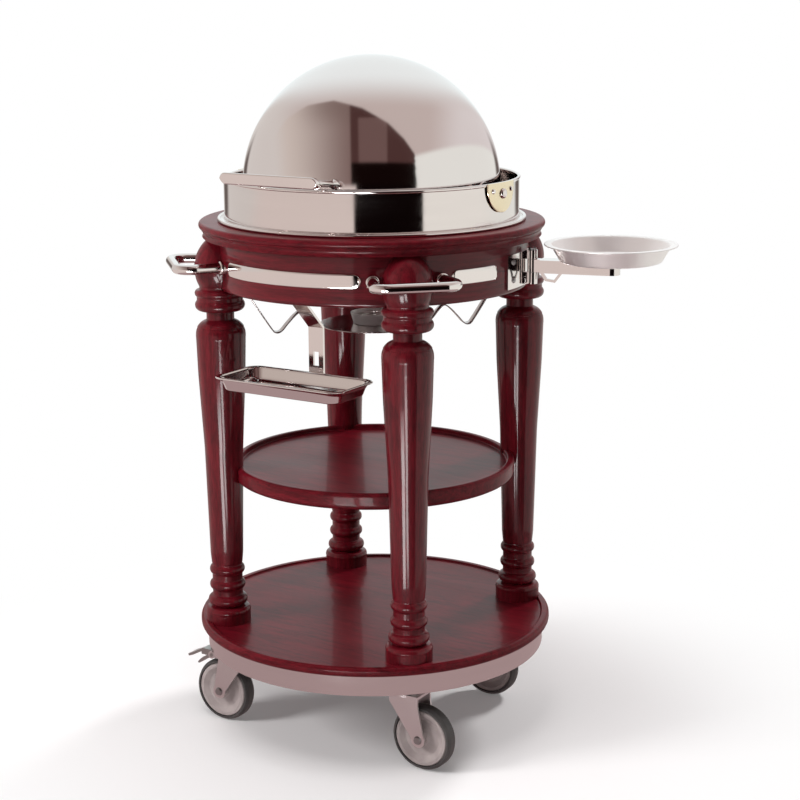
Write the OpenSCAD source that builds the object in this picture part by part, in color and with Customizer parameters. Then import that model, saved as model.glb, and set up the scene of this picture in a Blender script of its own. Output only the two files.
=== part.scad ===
// Round carving trolley: three round boards on four turned legs, a rolling
// dome over a hot-water pan, a burner, a swing-out plate, a lift-off tray and
// four swivel casters. Millimetres, +Z up, origin on the floor on the axis.
// Angles are measured from the front (-Y) towards +X.

/* [Boards] */
// Outer radius of the apron ring; the other rounds follow it
apron_radius = 250; // [220:1:310]
// Height of the apron ring
apron_height = 79; // [60:1:100]
// Radial thickness of the apron ring
apron_wall = 37; // [28:1:44]
// How far the worktop stands out past the apron
top_overhang = 26; // [18:1:34]
// Thickness of the worktop board
top_thick = 24; // [20:1:30]
// How far the bottom shelf stands out past the leg centres
bottom_overhang = 43; // [41:1:56]
// Thickness of the bottom shelf at its rim
bottom_thick = 15.5; // [12:0.5:22]
// Depth of the bottom shelf's floor below its rim
bottom_lip = 3; // [2:0.5:5]
// Depth of the board under the bottom shelf
base_depth = 30.5; // [24:0.5:40]
// How far the middle shelf stops short of the leg centres
middle_inset = 17; // [10:1:30]
// Thickness of the middle shelf at its rim
middle_thick = 27; // [22:1:36]
// Depth of the middle shelf's floor below its rim
middle_lip = 8; // [4:1:12]
// Height of the middle shelf's rim over the bottom shelf's rim
middle_rise = 259; // [200:1:330]
// Width of both shelf rims
rim_width = 9.5; // [7:0.5:14]
// Thickness of the stainless bands
band_thick = 3; // [1.5:0.5:4]
// Height of the stainless bands on the apron
band_height = 22; // [14:1:30]

/* [Legs] */
// Length of a leg from the bottom shelf's floor to the worktop
leg_length = 631; // [560:1:700]
// Radius of the foot block
foot_radius = 37; // [32:1:40]
// Radius of the thin end of the taper
leg_thin = 26.5; // [22:0.5:28]
// Radius of the thick end of the taper
leg_thick = 39.6; // [34:0.2:41]
// Radius of the leg bolts
leg_bolt_radius = 4; // [3:0.5:5]

/* [Dome and drum] */
// How far the drum stands inside the apron's outside
drum_inset = 15.5; // [12:0.5:22]
// Height of the drum over the worktop
drum_height = 69; // [60:1:90]
// Sheet thickness of the drum
drum_wall = 1.8; // [1.2:0.2:3]
// Space between the dome and the drum
dome_gap = 29.8; // [24:0.2:40]
// Sheet thickness of the dome
dome_wall = 2; // [1.2:0.2:3]
// Height of the dome's pivots over the worktop
pivot_rise = 52; // [44:1:60]
// Radius of the pivot shafts
pivot_radius = 6; // [4:0.5:7]
// Length of the dome's handle
dome_handle_length = 174; // [120:2:220]
// Distance of the handle from the pivot line
dome_handle_reach = 276.9; // [268:0.5:300]

/* [Pan and burner] */
// Depth of the water pan
pan_depth = 68; // [50:1:76]
// Thickness of the carving board
board_thick = 20; // [14:1:21]
// Radius of the burner cup's mouth
cup_radius = 36; // [30:1:44]
// Depth of the burner cup
cup_depth = 18; // [14:1:24]
// Width of the burner's strap
strap_width = 18; // [14:1:24]

/* [Handles, arm and tray] */
// Diameter of the push handles' rod
handle_diameter = 16; // [12:1:18]
// Distance of a push handle's bar from the apron
handle_reach = 68; // [60:1:90]
// Half of the distance between a handle's feet
handle_half_foot = 52.5; // [51:0.5:56]
// Direction in which the plate arm stands out
arm_angle = 105; // [100:1:110]
// Distance from the arm's pin to the plate's centre
arm_reach = 123.5; // [115:0.5:140]
// Radius of the plate
dish_radius = 103; // [85:1:106]
// Radius of the arm's pin
arm_pin_radius = 4; // [3:0.5:5]
// Length of the tray
tray_length = 236; // [180:2:280]
// Width of the tray
tray_width = 112; // [90:1:130]
// Depth of the tray
tray_depth = 22; // [16:1:30]
// Drop of the tray's rim below the apron
tray_drop = 117; // [100:1:140]

/* [Casters] */
// Diameter of the caster wheels
wheel_diameter = 105; // [90:1:115]
// Width of the wheels
wheel_width = 28; // [22:1:30]
// Distance of the swivels from the trolley's axis
swivel_circle = 229; // [205:1:235]
// Distance of a wheel's axle behind its swivel
caster_trail = 32; // [25:1:38]
// Radius of the axles
axle_radius = 4; // [3:0.5:5]

/* [Fits] */
// Radial gap of what turns on a pin
running_fit = 0.06; // [0.03:0.01:0.1]
// Gap of seated round faces
seat_gap = 0.25; // [0.2:0.05:0.4]
// Gap between pieces that move past each other
slip_gap = 0.5; // [0.3:0.1:1]

/* [Hidden] */
$fn = 96;
mahogany = [0.30, 0.05, 0.06];
dark_wood = [0.22, 0.04, 0.05];
steel = [0.80, 0.76, 0.76];
brass = [0.72, 0.58, 0.36];
grey_metal = [0.30, 0.30, 0.31];
wheel_grey = [0.62, 0.60, 0.58];
tyre_grey = [0.16, 0.15, 0.15];
fork_metal = [0.68, 0.66, 0.66];
maple = [0.80, 0.66, 0.45];

caster_head = 29.5;
base_bottom = wheel_diameter + caster_head;
plate_thick = 3.5;
board_bottom = base_bottom + plate_thick;
shelf_bottom = board_bottom + base_depth;
shelf_rim = shelf_bottom + bottom_thick;
shelf_floor = shelf_rim - bottom_lip;
worktop_under = shelf_floor + leg_length;
worktop = worktop_under + top_thick;
apron_bottom = worktop_under - apron_height;
apron_inner = apron_radius - apron_wall;
leg_circle = apron_radius - 3;
bottom_radius = leg_circle + bottom_overhang;
middle_radius = leg_circle - middle_inset;
middle_rim = shelf_rim + middle_rise;
middle_floor = middle_rim - middle_lip;
middle_bottom = middle_rim - middle_thick;
top_radius = apron_radius + top_overhang;
drum_radius = apron_radius - drum_inset;
drum_inner = drum_radius - drum_wall;
drum_top = worktop + drum_height;
dome_radius = drum_radius - dome_gap;
dome_inner = dome_radius - dome_wall;
pivot_z = worktop + pivot_rise;
pivot_bore = pivot_radius + running_fit;
fixed_bore = pivot_radius + seat_gap;
plinth_radius = bottom_radius - 13.25;

leg_angles = [-45, 45, 135, -135];
bolt_level = worktop_under - 30;
bolt_bore = leg_bolt_radius + seat_gap;
// leg taper as [height over the foot, radius]
leg_taper = [
    [117, leg_thin],
    [117 + 0.296 * (leg_length - 269), leg_thin + 0.21 * (leg_thick - leg_thin)],
    [117 + 0.489 * (leg_length - 269), leg_thin + 0.34 * (leg_thick - leg_thin)],
    [117 + 0.812 * (leg_length - 269), leg_thin + 0.84 * (leg_thick - leg_thin)],
    [leg_length - 152, leg_thick]
];
// leg beads as [largest radius, height over the foot]
leg_beads = [[32, 37], [29, 63], [28.5, 89]];
notch_radius = lookup(middle_rim - shelf_floor, leg_taper) + 0.35;

pan_ring_top = pivot_z - 20;
pan_ring_outer = dome_inner - 12.7;
pan_rim = pan_ring_outer - 4;
pan_floor = pan_ring_top - pan_depth;
pan_ledge = pan_ring_top - 22;

cup_top = pivot_z - sqrt(pow(dome_radius + 2.5, 2) - pow(cup_radius, 2));
cup_bottom = cup_top - cup_depth;
strap_high = pivot_z - sqrt(pow(dome_radius + 25, 2) - pow(118, 2));

handle_z = worktop_under - 39;
handle_splay = 13.2;
handle_bend = 22;
handle_rod = handle_diameter / 2;
handle_bar = apron_radius + handle_reach;
handle_arm = (handle_reach - handle_bend - handle_bend * sin(handle_splay)) / cos(handle_splay);
bend_in = handle_bar - handle_bend;
bend_side = handle_half_foot + handle_arm * sin(handle_splay) - handle_bend * cos(handle_splay);

arm_top = worktop_under - 32;
arm_bottom = arm_top - 20;
arm_pin_circle = apron_radius + 13;
dish_rim = arm_top + 28;

tray_x = 3;
tray_rim = apron_bottom - tray_drop;
tray_floor = tray_rim - tray_depth;
tray_back = -171.5;
bracket_x = 6;
bracket_back = -(apron_inner - 1.3);

wheel_radius = wheel_diameter / 2;
hub_radius = wheel_radius - 6.5;
fork_inner = wheel_width / 2 + 3;
fork_outer = fork_inner + 3;
crown_top = wheel_diameter + 18;
crown_bottom = crown_top - 4;
axle_bore = axle_radius + seat_gap;
brake_x = caster_trail + 14;
brake_z = wheel_diameter + 9;
brake_pin = 3;

// ---- placing and outlines

// turns children so that their +X points outwards at an angle from the front
module at(a) {
    rotate([0, 0, a - 90]) children();
}

// tube around the trolley's axis
module ring(inner, outer, low, high) {
    translate([0, 0, low]) difference() {
        cylinder(r = outer, h = high - low);
        translate([0, 0, -1]) cylinder(r = inner, h = high - low + 2);
    }
}

// solid disc on the axis
module disc(outer, low, high) {
    translate([0, 0, low]) cylinder(r = outer, h = high - low, $fn = 240);
}

// outline of a board's edge from radius a to b with a rounded outer edge
module edge_outline(a, b, low, high, e) {
    translate([a, low]) square([b - e - a, high - low]);
    translate([a, low + e]) square([b - a - 0.3, high - low - 2 * e]);
    translate([b - e, low + e]) circle(r = e);
    translate([b - e, high - e]) circle(r = e);
}

// sector of the plane between two angles, as a prism
module sector(a0, a1, low, high) {
    far = 2 * apron_radius;
    mid = (a0 + a1) / 2;
    translate([0, 0, low]) linear_extrude(high - low) polygon([
        [0, 0],
        [far * sin(a0), -far * cos(a0)],
        [far * sin(mid), -far * cos(mid)],
        [far * sin(a1), -far * cos(a1)]
    ]);
}

// ---- fasteners that are also cut out of the wood

module leg_bolt_down(grow) {
    translate([leg_circle, 0, board_bottom + 8]) cylinder(r = leg_bolt_radius + grow, h = 92 + grow);
    translate([leg_circle, 0, board_bottom + 2 - 3 * grow]) cylinder(r = 9 + grow, h = 6.5 + 3 * grow);
}

module leg_bolt_out(grow) {
    difference() {
        union() {
            translate([apron_inner - 3, 0, bolt_level]) rotate([0, 90, 0])
                cylinder(r = leg_bolt_radius + grow, h = 60 + grow);
            translate([apron_inner - 6, 0, bolt_level]) rotate([0, 90, 0]) cylinder(r = 7 + grow, h = 8);
        }
        if (grow == 0) translate([0, 0, bolt_level - 12]) difference() {
            cylinder(r = apron_inner + 5, h = 24);
            translate([0, 0, -1]) cylinder(r = apron_inner - seat_gap, h = 26);
            rotate([0, 90, 0]) translate([-12, 0, 0]) cylinder(r = leg_bolt_radius + 0.01, h = 400);
        }
    }
}

module dowel(grow) {
    translate([middle_radius - 40, 0, middle_bottom + 11]) rotate([0, 90, 0])
        cylinder(r = 4 + grow, h = 45 + grow);
}

// straight screw with a domed head, along +X from the origin
module screw(shank, head, length, grow) {
    rotate([0, 90, 0]) cylinder(r = shank + grow, h = length + grow);
    if (grow == 0) rotate([0, -90, 0]) cylinder(r1 = head, r2 = 0.7 * head, h = 0.5 * head);
}

// ---- boards and legs

module base_board() color(dark_wood) difference() {
    disc(plinth_radius - seat_gap, board_bottom, shelf_bottom);
    for (a = leg_angles) at(a) leg_bolt_down(seat_gap);
    for (a = leg_angles) at(a) plate_screws(seat_gap);
}

module base_band() color(steel)
    ring(plinth_radius, plinth_radius + 1.6, base_bottom, shelf_bottom);

module bottom_shelf() color(mahogany) difference() {
    rotate_extrude() difference() {
        edge_outline(0, bottom_radius, shelf_bottom, shelf_rim, 6);
        translate([0, shelf_floor]) square([bottom_radius - rim_width - 3.5, bottom_lip + 1]);
    }
    for (a = leg_angles) at(a) leg_bolt_down(seat_gap);
}

module leg_outline() {
    intersection() {
        square([60, leg_length]);
        union() {
            square([24.5, 101]);
            square([foot_radius - 0.4, 19]);
            square([foot_radius - 8, 26.7]);
            translate([foot_radius - 8, 19]) circle(r = 8);
            for (b = leg_beads) translate([b[0] - 9, b[1]]) circle(r = 9);
            polygon([[0, 100], [24.9, 100], [leg_taper[0][1], leg_taper[0][0]], [leg_taper[1][1],
                leg_taper[1][0]],
                [leg_taper[2][1], leg_taper[2][0]], [leg_taper[3][1], leg_taper[3][0]],
                [leg_taper[4][1], leg_taper[4][0]], [0, leg_length - 152]]);
            translate([leg_thick - 23.6, leg_length - 152]) circle(r = 24);
            translate([0, leg_length - 155]) square([22, 50]);
            translate([0, leg_length - 112]) square([31, 14]);
            translate([30, leg_length - 105]) circle(r = 9.5);
            translate([0, leg_length - 99]) square([36.5, 10]);
            translate([33, leg_length - 86]) circle(r = 6.5);
            translate([0, leg_length - 90]) square([32, 22]);
            translate([-21.5, leg_length - 47]) circle(r = 60.5);
        }
    }
}

module leg(a) color(mahogany) difference() {
    at(a) translate([leg_circle, 0, shelf_floor]) rotate_extrude() leg_outline();
    // half lap: the apron passes through the leg's upper part
    disc(apron_radius + seat_gap, apron_bottom, worktop_under + 1);
    // scribed over the bottom shelf's rim
    ring(bottom_radius - rim_width - 3.75, bottom_radius + 5, shelf_floor - 1, shelf_rim + seat_gap);
    at(a) leg_bolt_down(seat_gap);
    at(a) leg_bolt_out(seat_gap);
    at(a) dowel(seat_gap);
}

module leg_front_left() leg(leg_angles[0]);
module leg_front_right() leg(leg_angles[1]);
module leg_back_right() leg(leg_angles[2]);
module leg_back_left() leg(leg_angles[3]);

module middle_shelf() color(mahogany) difference() {
    rotate_extrude() difference() {
        edge_outline(0, middle_radius, middle_bottom, middle_rim, 8);
        translate([0, middle_floor]) square([middle_radius - rim_width - 2, middle_lip + 1]);
    }
    for (a = leg_angles) at(a) translate([leg_circle, 0, middle_bottom - 1])
        cylinder(r = notch_radius, h = middle_thick + 2);
    for (a = leg_angles) at(a) dowel(seat_gap);
}

module shelf_dowels() color(maple)
    for (a = leg_angles) at(a) dowel(0);

module apron() color(mahogany) difference() {
    rotate_extrude() edge_outline(apron_inner, apron_radius, apron_bottom, worktop_under, 5);
    for (a = leg_angles) at(a) leg_bolt_out(seat_gap);
    for (a = leg_angles) at(a) handle_screws(seat_gap);
    tray_screws(seat_gap);
    strap_screws(seat_gap);
    arm_screws(seat_gap);
}

// one stainless band on the apron between two angles, with rounded ends
module band(a0, a1) color(steel) {
    low = apron_bottom + 29;
    mid = low + band_height / 2;
    end = asin((band_height / 2) / apron_radius);
    intersection() {
        ring(apron_radius + seat_gap, apron_radius + seat_gap + band_thick, low, low + band_height);
        union() {
            sector(a0 + end, a1 - end, low - 1, low + band_height + 1);
            at(a0 + end) translate([apron_radius - 20, 0, mid]) rotate([0, 90, 0])
                cylinder(r = band_height / 2 + 0.4, h = 40);
            at(a1 - end) translate([apron_radius - 20, 0, mid]) rotate([0, 90, 0])
                cylinder(r = band_height / 2 + 0.4, h = 40);
        }
    }
}

module band_front() band(-29, 29);
module band_right() band(61, 82);
module band_back() band(151, 209);
module band_left() band(241, 299);

module top_board() color(mahogany) difference() {
    rotate_extrude() difference() {
        union() {
            translate([apron_inner, worktop_under]) square([top_radius - 12 - apron_inner, top_thick]);
            translate([apron_inner, worktop_under]) square([top_radius - 4.5 - apron_inner, top_thick - 7]);
            translate([top_radius - 5.5, worktop - 5.8]) circle(r = 5.5);
        }
        translate([top_radius + 1, worktop_under + 4.5]) circle(r = 8);
    }
    for (k = [0:5]) at(30 + 60 * k) flange_screw(seat_gap);
}

// ---- drum, pivots and pan frame

module flange_screw(grow) {
    translate([drum_inner - 9, 0, worktop + 2]) rotate([0, 90, 0]) screw(2.25, 4.5, 18, grow);
}

module plate_screw(a, grow) {
    at(a) translate([drum_radius + 4.25, 0, pivot_z + 5]) rotate([0, 180, 0]) screw(2, 4, 8, grow);
}

module drum() color(steel) difference() {
    rotate_extrude() {
        translate([drum_inner - 14.7, worktop]) square([drum_radius + 11.5 - 3 - drum_inner + 14.7, 2]);
        translate([drum_inner, worktop]) square([drum_wall, drum_height - 3]);
        translate([drum_radius + 8.5, worktop + 3]) circle(r = 3);
        translate([drum_radius - 0.9, drum_top - 2.6]) circle(r = 2.6);
    }
    for (k = [0:5]) at(30 + 60 * k) flange_screw(seat_gap);
    translate([-drum_radius - 5, 0, pivot_z]) rotate([0, 90, 0])
        cylinder(r = fixed_bore, h = 2 * drum_radius + 10);
    for (a = [90 - 6.5, 90 + 6.5, 270 - 6.5, 270 + 6.5]) plate_screw(a, seat_gap);
}

module pivot_plates() color(brass) difference() {
    intersection() {
        rotate_extrude() polygon([
            [drum_radius + seat_gap, drum_top - 46], [drum_radius + 4, drum_top - 46],
                [drum_radius + 4, drum_top],
            [drum_radius + 2, drum_top], [drum_radius + 2, drum_top - 6],
                [drum_radius + seat_gap, drum_top - 6]
        ]);
        translate([-drum_radius - 20, 0, drum_top - 6]) rotate([0, 90, 0])
            cylinder(r = 40, h = 2 * drum_radius + 40);
    }
    translate([-drum_radius - 9, 0, pivot_z]) rotate([0, 90, 0])
        cylinder(r = fixed_bore, h = 2 * drum_radius + 18);
    for (a = [90 - 6.5, 90 + 6.5, 270 - 6.5, 270 + 6.5]) plate_screw(a, seat_gap);
}

module pivot_shafts() color(steel)
    for (a = [90, 270]) at(a) translate([0, 0, pivot_z]) rotate([0, 90, 0]) {
        translate([0, 0, pan_ring_outer - 0.5])
            cylinder(r = pivot_radius, h = drum_radius + 6 - pan_ring_outer);
        translate([0, 0, dome_radius + 1.8]) cylinder(r = 9.5, h = drum_inner - dome_radius - 2.1);
        translate([0, 0, drum_radius + 4.25]) rotate_extrude() intersection() {
            translate([0, -4]) circle(r = 9);
            square([12, 12]);
        }
    }

module pan_frame() color(grey_metal) difference() {
    union() {
        ring(pan_ring_outer - 8, pan_ring_outer, pan_ring_top - 4, pan_ring_top);
        for (a = [90, 270]) at(a) {
            translate([pan_ring_outer - 1, -11.5, pan_ring_top - 4]) cube([4, 23, 24]);
            translate([pan_ring_outer - 1, 0, pivot_z]) rotate([0, 90, 0]) cylinder(r = 12, h = 4);
        }
        intersection() {
            disc(drum_inner - 0.3, pan_ring_top - 5, pan_ring_top + 20);
            for (a = [-40, 0, 40]) at(a) {
                translate([pan_ring_outer - 3, -7, pan_ring_top - 4]) cube([60, 14, 4]);
                translate([drum_inner - 3.5, -7, pan_ring_top - 4]) cube([10, 14, 18]);
            }
        }
    }
    translate([-pan_ring_outer - 9, 0, pivot_z]) rotate([0, 90, 0])
        cylinder(r = fixed_bore, h = 2 * pan_ring_outer + 18);
}

module leg_bolts() color(grey_metal)
    for (a = leg_angles) at(a) {
        leg_bolt_down(0);
        leg_bolt_out(0);
    }

// ---- dome

module dome_posts(grow) {
    tilt = 6.6;
    for (s = [-1, 1]) translate([60 * s, 0, pivot_z]) rotate([90 - tilt, 0, 0]) {
        if (grow == 0) difference() {
            translate([0, 0, dome_radius - 15])
                cylinder(r = 5, h = dome_handle_reach - 6 - seat_gap - dome_radius + 15);
            translate([-60 * s, 0, 0]) sphere(r = dome_radius + seat_gap);
        }
        translate([0, 0, dome_inner - 16]) cylinder(r = 2.5 + grow, h = dome_handle_reach - dome_inner + 16);
        if (grow == 0) intersection() {
            translate([0, 0, dome_inner - 16]) cylinder(r = 5.5, h = 16);
            translate([-60 * s, 0, 0]) sphere(r = dome_inner - seat_gap);
        }
    }
}

module dome() color(steel) difference() {
    union() {
        translate([0, 0, pivot_z]) rotate_extrude() intersection() {
            difference() {
                circle(r = dome_radius);
                circle(r = dome_inner);
            }
            square([dome_radius + 1, dome_radius + 1]);
        }
        for (a = [90, 270]) at(a) translate([dome_inner - 5.7, 0, pivot_z]) rotate([0, 90, 0])
            cylinder(r = 16, h = 9);
    }
    translate([-dome_radius - 5, 0, pivot_z]) rotate([0, 90, 0])
        cylinder(r = pivot_bore, h = 2 * dome_radius + 10);
    dome_posts(seat_gap);
}

module dome_handle() color(steel) difference() {
    translate([0, 0, pivot_z]) rotate([-6.6, 0, 0]) translate([0, -dome_handle_reach, 0]) {
        half = dome_handle_length / 2 - 9;
        translate([-half, -6, -9]) cube([2 * half, 12, 18]);
        for (s = [-1, 1]) translate([s * half, 6, 0]) rotate([90, 0, 0]) cylinder(r = 8.9, h = 12);
    }
    dome_posts(seat_gap);
}

module dome_handle_posts() color(steel) dome_posts(0);

// ---- pan, board and burner

module water_pan() color(steel) rotate_extrude() polygon([
    [0, pan_floor], [pan_rim - 30, pan_floor], [pan_rim - 24, pan_floor + 4], [pan_rim - 19, pan_ledge],
    [pan_rim - 9, pan_ledge], [pan_rim - 5.5, pan_ring_top], [pan_rim, pan_ring_top],
    [pan_rim, pan_ring_top + 1.5], [pan_rim - 7, pan_ring_top + 1.5], [pan_rim - 10.4, pan_ledge + 1.5],
    [pan_rim - 20.5, pan_ledge + 1.5], [pan_rim - 25.5, pan_floor + 5], [pan_rim - 31, pan_floor + 1.5],
    [0, pan_floor + 1.5]
]);

module carving_board() color(maple) rotate_extrude() difference() {
    translate([0, pan_ledge + 1.5]) square([pan_rim - 13, board_thick]);
    translate([pan_rim - 30, pan_ledge + 2.5 + board_thick]) circle(r = 4);
}

// mitred flat strip along a path of [r, z] points, t thick
function unit(v) = v / norm(v);
function side(p, q) = [-unit(q - p)[1], unit(q - p)[0]];
function mitre(p, i) =
    i == 0 ? side(p[0], p[1]) :
    i == len(p) - 1 ? side(p[i - 1], p[i]) :
    (side(p[i - 1], p[i]) + side(p[i], p[i + 1])) / (1 + side(p[i - 1], p[i]) * side(p[i], p[i + 1]));
module strip(p, t) {
    n = len(p);
    polygon(concat(
        [for (i = [0:n - 1]) p[i] + mitre(p, i) * t / 2],
        [for (i = [n - 1:-1:0]) p[i] - mitre(p, i) * t / 2]
    ));
}

strap_path = [
    [apron_inner - 2, apron_bottom + 34], [apron_inner - 2, apron_bottom + 5],
        [apron_inner - 12, apron_bottom - 12],
    [168, cup_bottom + 1], [160, cup_bottom - 9], [151, cup_bottom - 7], [128, strap_high - 8],
    [118, strap_high], [110, strap_high - 6], [92, cup_bottom - 1], [80, cup_bottom - 1]
];

module strap_screws(grow) {
    for (a = [-45, 135]) at(a) for (h = [12, 25])
        translate([apron_inner - 3.5, 0, apron_bottom + h]) screw(2, 4, 16, grow);
}

module burner_strap() color(grey_metal) difference() {
    union() {
        for (a = [-45, 135]) at(a) translate([0, strap_width / 2, 0]) rotate([90, 0, 0])
            linear_extrude(strap_width) strip(strap_path, 2);
        disc(86, cup_bottom - 2, cup_bottom);
    }
    strap_screws(seat_gap);
}

module burner_cup() color(steel) rotate_extrude() polygon([
    [0, cup_bottom], [cup_radius - 5, cup_bottom], [cup_radius, cup_top], [cup_radius - 1.5, cup_top],
    [cup_radius - 6.3, cup_bottom + 1.5], [0, cup_bottom + 1.5]
]);

module fuel_can() color(wheel_grey) rotate_extrude() difference() {
    translate([0, cup_bottom + 1.5]) square([cup_radius - 10, cup_depth - 5.5]);
    translate([0, cup_top - 5.5]) square([cup_radius - 16, 4]);
}

// ---- push handles

// centre lines of a handle, children drawn at its foot with +X along the arm
module handle_feet() {
    for (s = [-1, 1]) translate([apron_radius, s * handle_half_foot, handle_z])
        rotate([0, 0, s * handle_splay]) children();
}

module handle_screws(grow) {
    handle_feet() translate([-44, 0, 0]) rotate([0, 90, 0]) cylinder(r = 3 + grow, h = 62 + grow);
}

module push_handle(a) color(steel) difference() {
    at(a) {
        // the straight lengths reach a little into the bends, which are a hair thinner
        handle_feet() translate([-12, 0, 0]) rotate([0, 90, 0])
            cylinder(r = handle_rod, h = handle_arm + 12.3);
        for (s = [0, 1]) mirror([0, s, 0]) translate([bend_in, bend_side, handle_z])
            rotate_extrude(angle = 90 + handle_splay) translate([handle_bend, 0])
                circle(r = handle_rod - 0.01);
        translate([handle_bar, bend_side + 0.3, handle_z]) rotate([90, 0, 0])
            cylinder(r = handle_rod, h = 2 * bend_side + 0.6);
    }
    disc(apron_radius + seat_gap, handle_z - 30, handle_z + 30);
    at(a) handle_screws(seat_gap);
}

module handle_front_left() push_handle(leg_angles[0]);
module handle_front_right() push_handle(leg_angles[1]);

module handle_flanges() color(steel) difference() {
    for (a = [-45, 45]) at(a) handle_feet() difference() {
        translate([-12, 0, 0]) rotate([0, 90, 0]) cylinder(r = handle_rod + 3, h = 16);
        translate([-13, 0, 0]) rotate([0, 90, 0]) cylinder(r = handle_rod + seat_gap, h = 18);
    }
    disc(apron_radius + seat_gap, handle_z - 30, handle_z + 30);
}

// ---- plate arm

module arm_screws(grow) {
    at(arm_angle - 13) for (h = [-14, 14])
        translate([apron_radius + 3.25, 0, arm_bottom + 8 + h]) rotate([0, 180, 0])
            screw(2.25, 4.5, 20, grow);
}

module arm_bracket() color(steel) difference() {
    union() {
        intersection() {
            ring(apron_radius + seat_gap, apron_radius + 3.25, arm_bottom - 19, arm_bottom + 34);
            sector(arm_angle - 17, arm_angle + 3.5, arm_bottom - 20, arm_bottom + 35);
        }
        at(arm_angle) for (z = [arm_bottom - 19, arm_top + slip_gap]) translate([0, 0, z]) {
            translate([arm_pin_circle, 0, 0])
                cylinder(r = 8, h = z < arm_bottom ? 19 - slip_gap : 14 - slip_gap);
            translate([apron_radius + 1.5, -6, 0])
                cube([10, 12, z < arm_bottom ? 19 - slip_gap : 14 - slip_gap]);
        }
    }
    at(arm_angle) translate([arm_pin_circle, 0, arm_bottom - 20])
        cylinder(r = arm_pin_radius + running_fit, h = 56);
    arm_screws(seat_gap);
}

module plate_arm() color(steel) at(arm_angle) translate([arm_pin_circle, 0, 0]) difference() {
    union() {
        translate([0, 0, arm_bottom]) cylinder(r = 8, h = 20);
        translate([4, -7, arm_bottom]) cube([12, 14, 20]);
        difference() {
            union() {
                translate([14, -15, arm_bottom]) cube([arm_reach - 14, 30, 20]);
                translate([arm_reach, 0, arm_bottom]) cylinder(r = 15.1, h = 20);
            }
            translate([18, -12, arm_bottom - 1]) cube([arm_reach - 18, 24, 18]);
            translate([arm_reach, 0, arm_bottom - 1]) cylinder(r = 12, h = 18);
        }
        translate([0, 3, 0]) rotate([90, 0, 0]) linear_extrude(6) strip([
            [12, arm_bottom + 3], [22, arm_bottom - 12], [36, arm_bottom - 14], [60, arm_bottom + 18]
        ], 4);
    }
    translate([0, 0, arm_bottom - 2]) cylinder(r = arm_pin_radius + seat_gap, h = 24);
}

module arm_pin() color(grey_metal) at(arm_angle) translate([arm_pin_circle, 0, arm_bottom - 19]) {
    cylinder(r = arm_pin_radius, h = 54);
    translate([0, 0, 53 + slip_gap]) cylinder(r = 6, h = 3);
}

module plate_dish() color(steel) at(arm_angle) translate([arm_pin_circle + arm_reach, 0, 0])
    rotate_extrude() polygon([
    [0, arm_top], [dish_radius - 29, arm_top], [dish_radius - 24, arm_top + 2],
        [dish_radius - 10, dish_rim - 2],
    [dish_radius, dish_rim - 2], [dish_radius, dish_rim], [dish_radius - 11.2, dish_rim],
    [dish_radius - 25.5, arm_top + 3.5], [dish_radius - 30, arm_top + 1.8], [0, arm_top + 1.8]
]);

// ---- tray

module tray_screws(grow) {
    translate([bracket_x, 0, 0]) for (h = [20, 55])
        translate([0, bracket_back + 4, apron_bottom + h]) rotate([0, 0, -90]) screw(2.25, 4.5, 18, grow);
}

module tray_bracket() color(steel) difference() {
    translate([bracket_x - 13.5, 0, 0]) rotate([90, 0, 90]) linear_extrude(27) strip([
        [bracket_back + 2, worktop_under - 10], [bracket_back + 2, apron_bottom - 6],
        [tray_back + 2.5, apron_bottom - 46], [tray_back + 2.5, tray_floor - 2],
            [tray_back - 80, tray_floor - 2]
    ], 4);
    tray_screws(seat_gap);
    translate([bracket_x - 5, tray_back - 5, tray_rim + 10]) cube([10, 20, 22]);
}

// outline of the tray, drawn in from its edge
module tray_outline(in) {
    r = 22 - 0.5 * in;
    x = tray_length / 2 - in - r;
    y = tray_width / 2 - in - r;
    square([2 * x, 2 * (y + r) - 0.5], center = true);
    square([2 * (x + r) - 0.5, 2 * y], center = true);
    for (i = [-1, 1], j = [-1, 1]) translate([i * x, j * y]) circle(r = r);
}

module tray() color(steel) translate([tray_x, tray_back - tray_width / 2, 0]) difference() {
    union() {
        translate([0, 0, tray_rim - 3]) linear_extrude(3) tray_outline(0);
        translate([0, 0, tray_rim - 9]) linear_extrude(9) tray_outline(5);
        translate([0, 0, tray_floor + 4]) linear_extrude(tray_depth - 8) tray_outline(9);
        translate([0, 0, tray_floor]) linear_extrude(tray_depth - 6) tray_outline(13);
    }
    translate([0, 0, tray_rim - 7]) linear_extrude(12) tray_outline(8);
    translate([0, 0, tray_floor + 5.5]) linear_extrude(30) tray_outline(11);
    translate([0, 0, tray_floor + 1.5]) linear_extrude(30) tray_outline(15);
}

// ---- casters

module plate_screws(grow) {
    for (i = [-1, 1], j = [-1, 1])
        translate([swivel_circle + 22 * i, 22 * j, base_bottom]) rotate([0, -90, 0])
            screw(2.5, 4.5, 18, grow);
}

module caster_plates() color(fork_metal) difference() {
    for (a = leg_angles) at(a) translate([swivel_circle, 0, 0]) {
        translate([-31, -31, base_bottom]) cube([62, 62, plate_thick]);
        translate([0, 0, crown_top + slip_gap]) cylinder(r = 22, h = base_bottom - crown_top - slip_gap + 1);
        translate([0, 0, crown_bottom - 5]) cylinder(r = 6, h = base_bottom - crown_bottom + 6);
        translate([0, 0, crown_bottom - 6]) cylinder(r = 10, h = 6 - slip_gap);
    }
    for (a = leg_angles) at(a) plate_screws(seat_gap);
}

module caster_plate_screws() color(grey_metal)
    for (a = leg_angles) at(a) plate_screws(0);

// puts a caster's piece at its swivel; dir is +1 where the wheel trails to +X
module at_caster(a, dir) {
    translate([swivel_circle * sin(a), -swivel_circle * cos(a), 0]) rotate([0, 0, dir > 0 ? 0 : 180])
        children();
}

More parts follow.
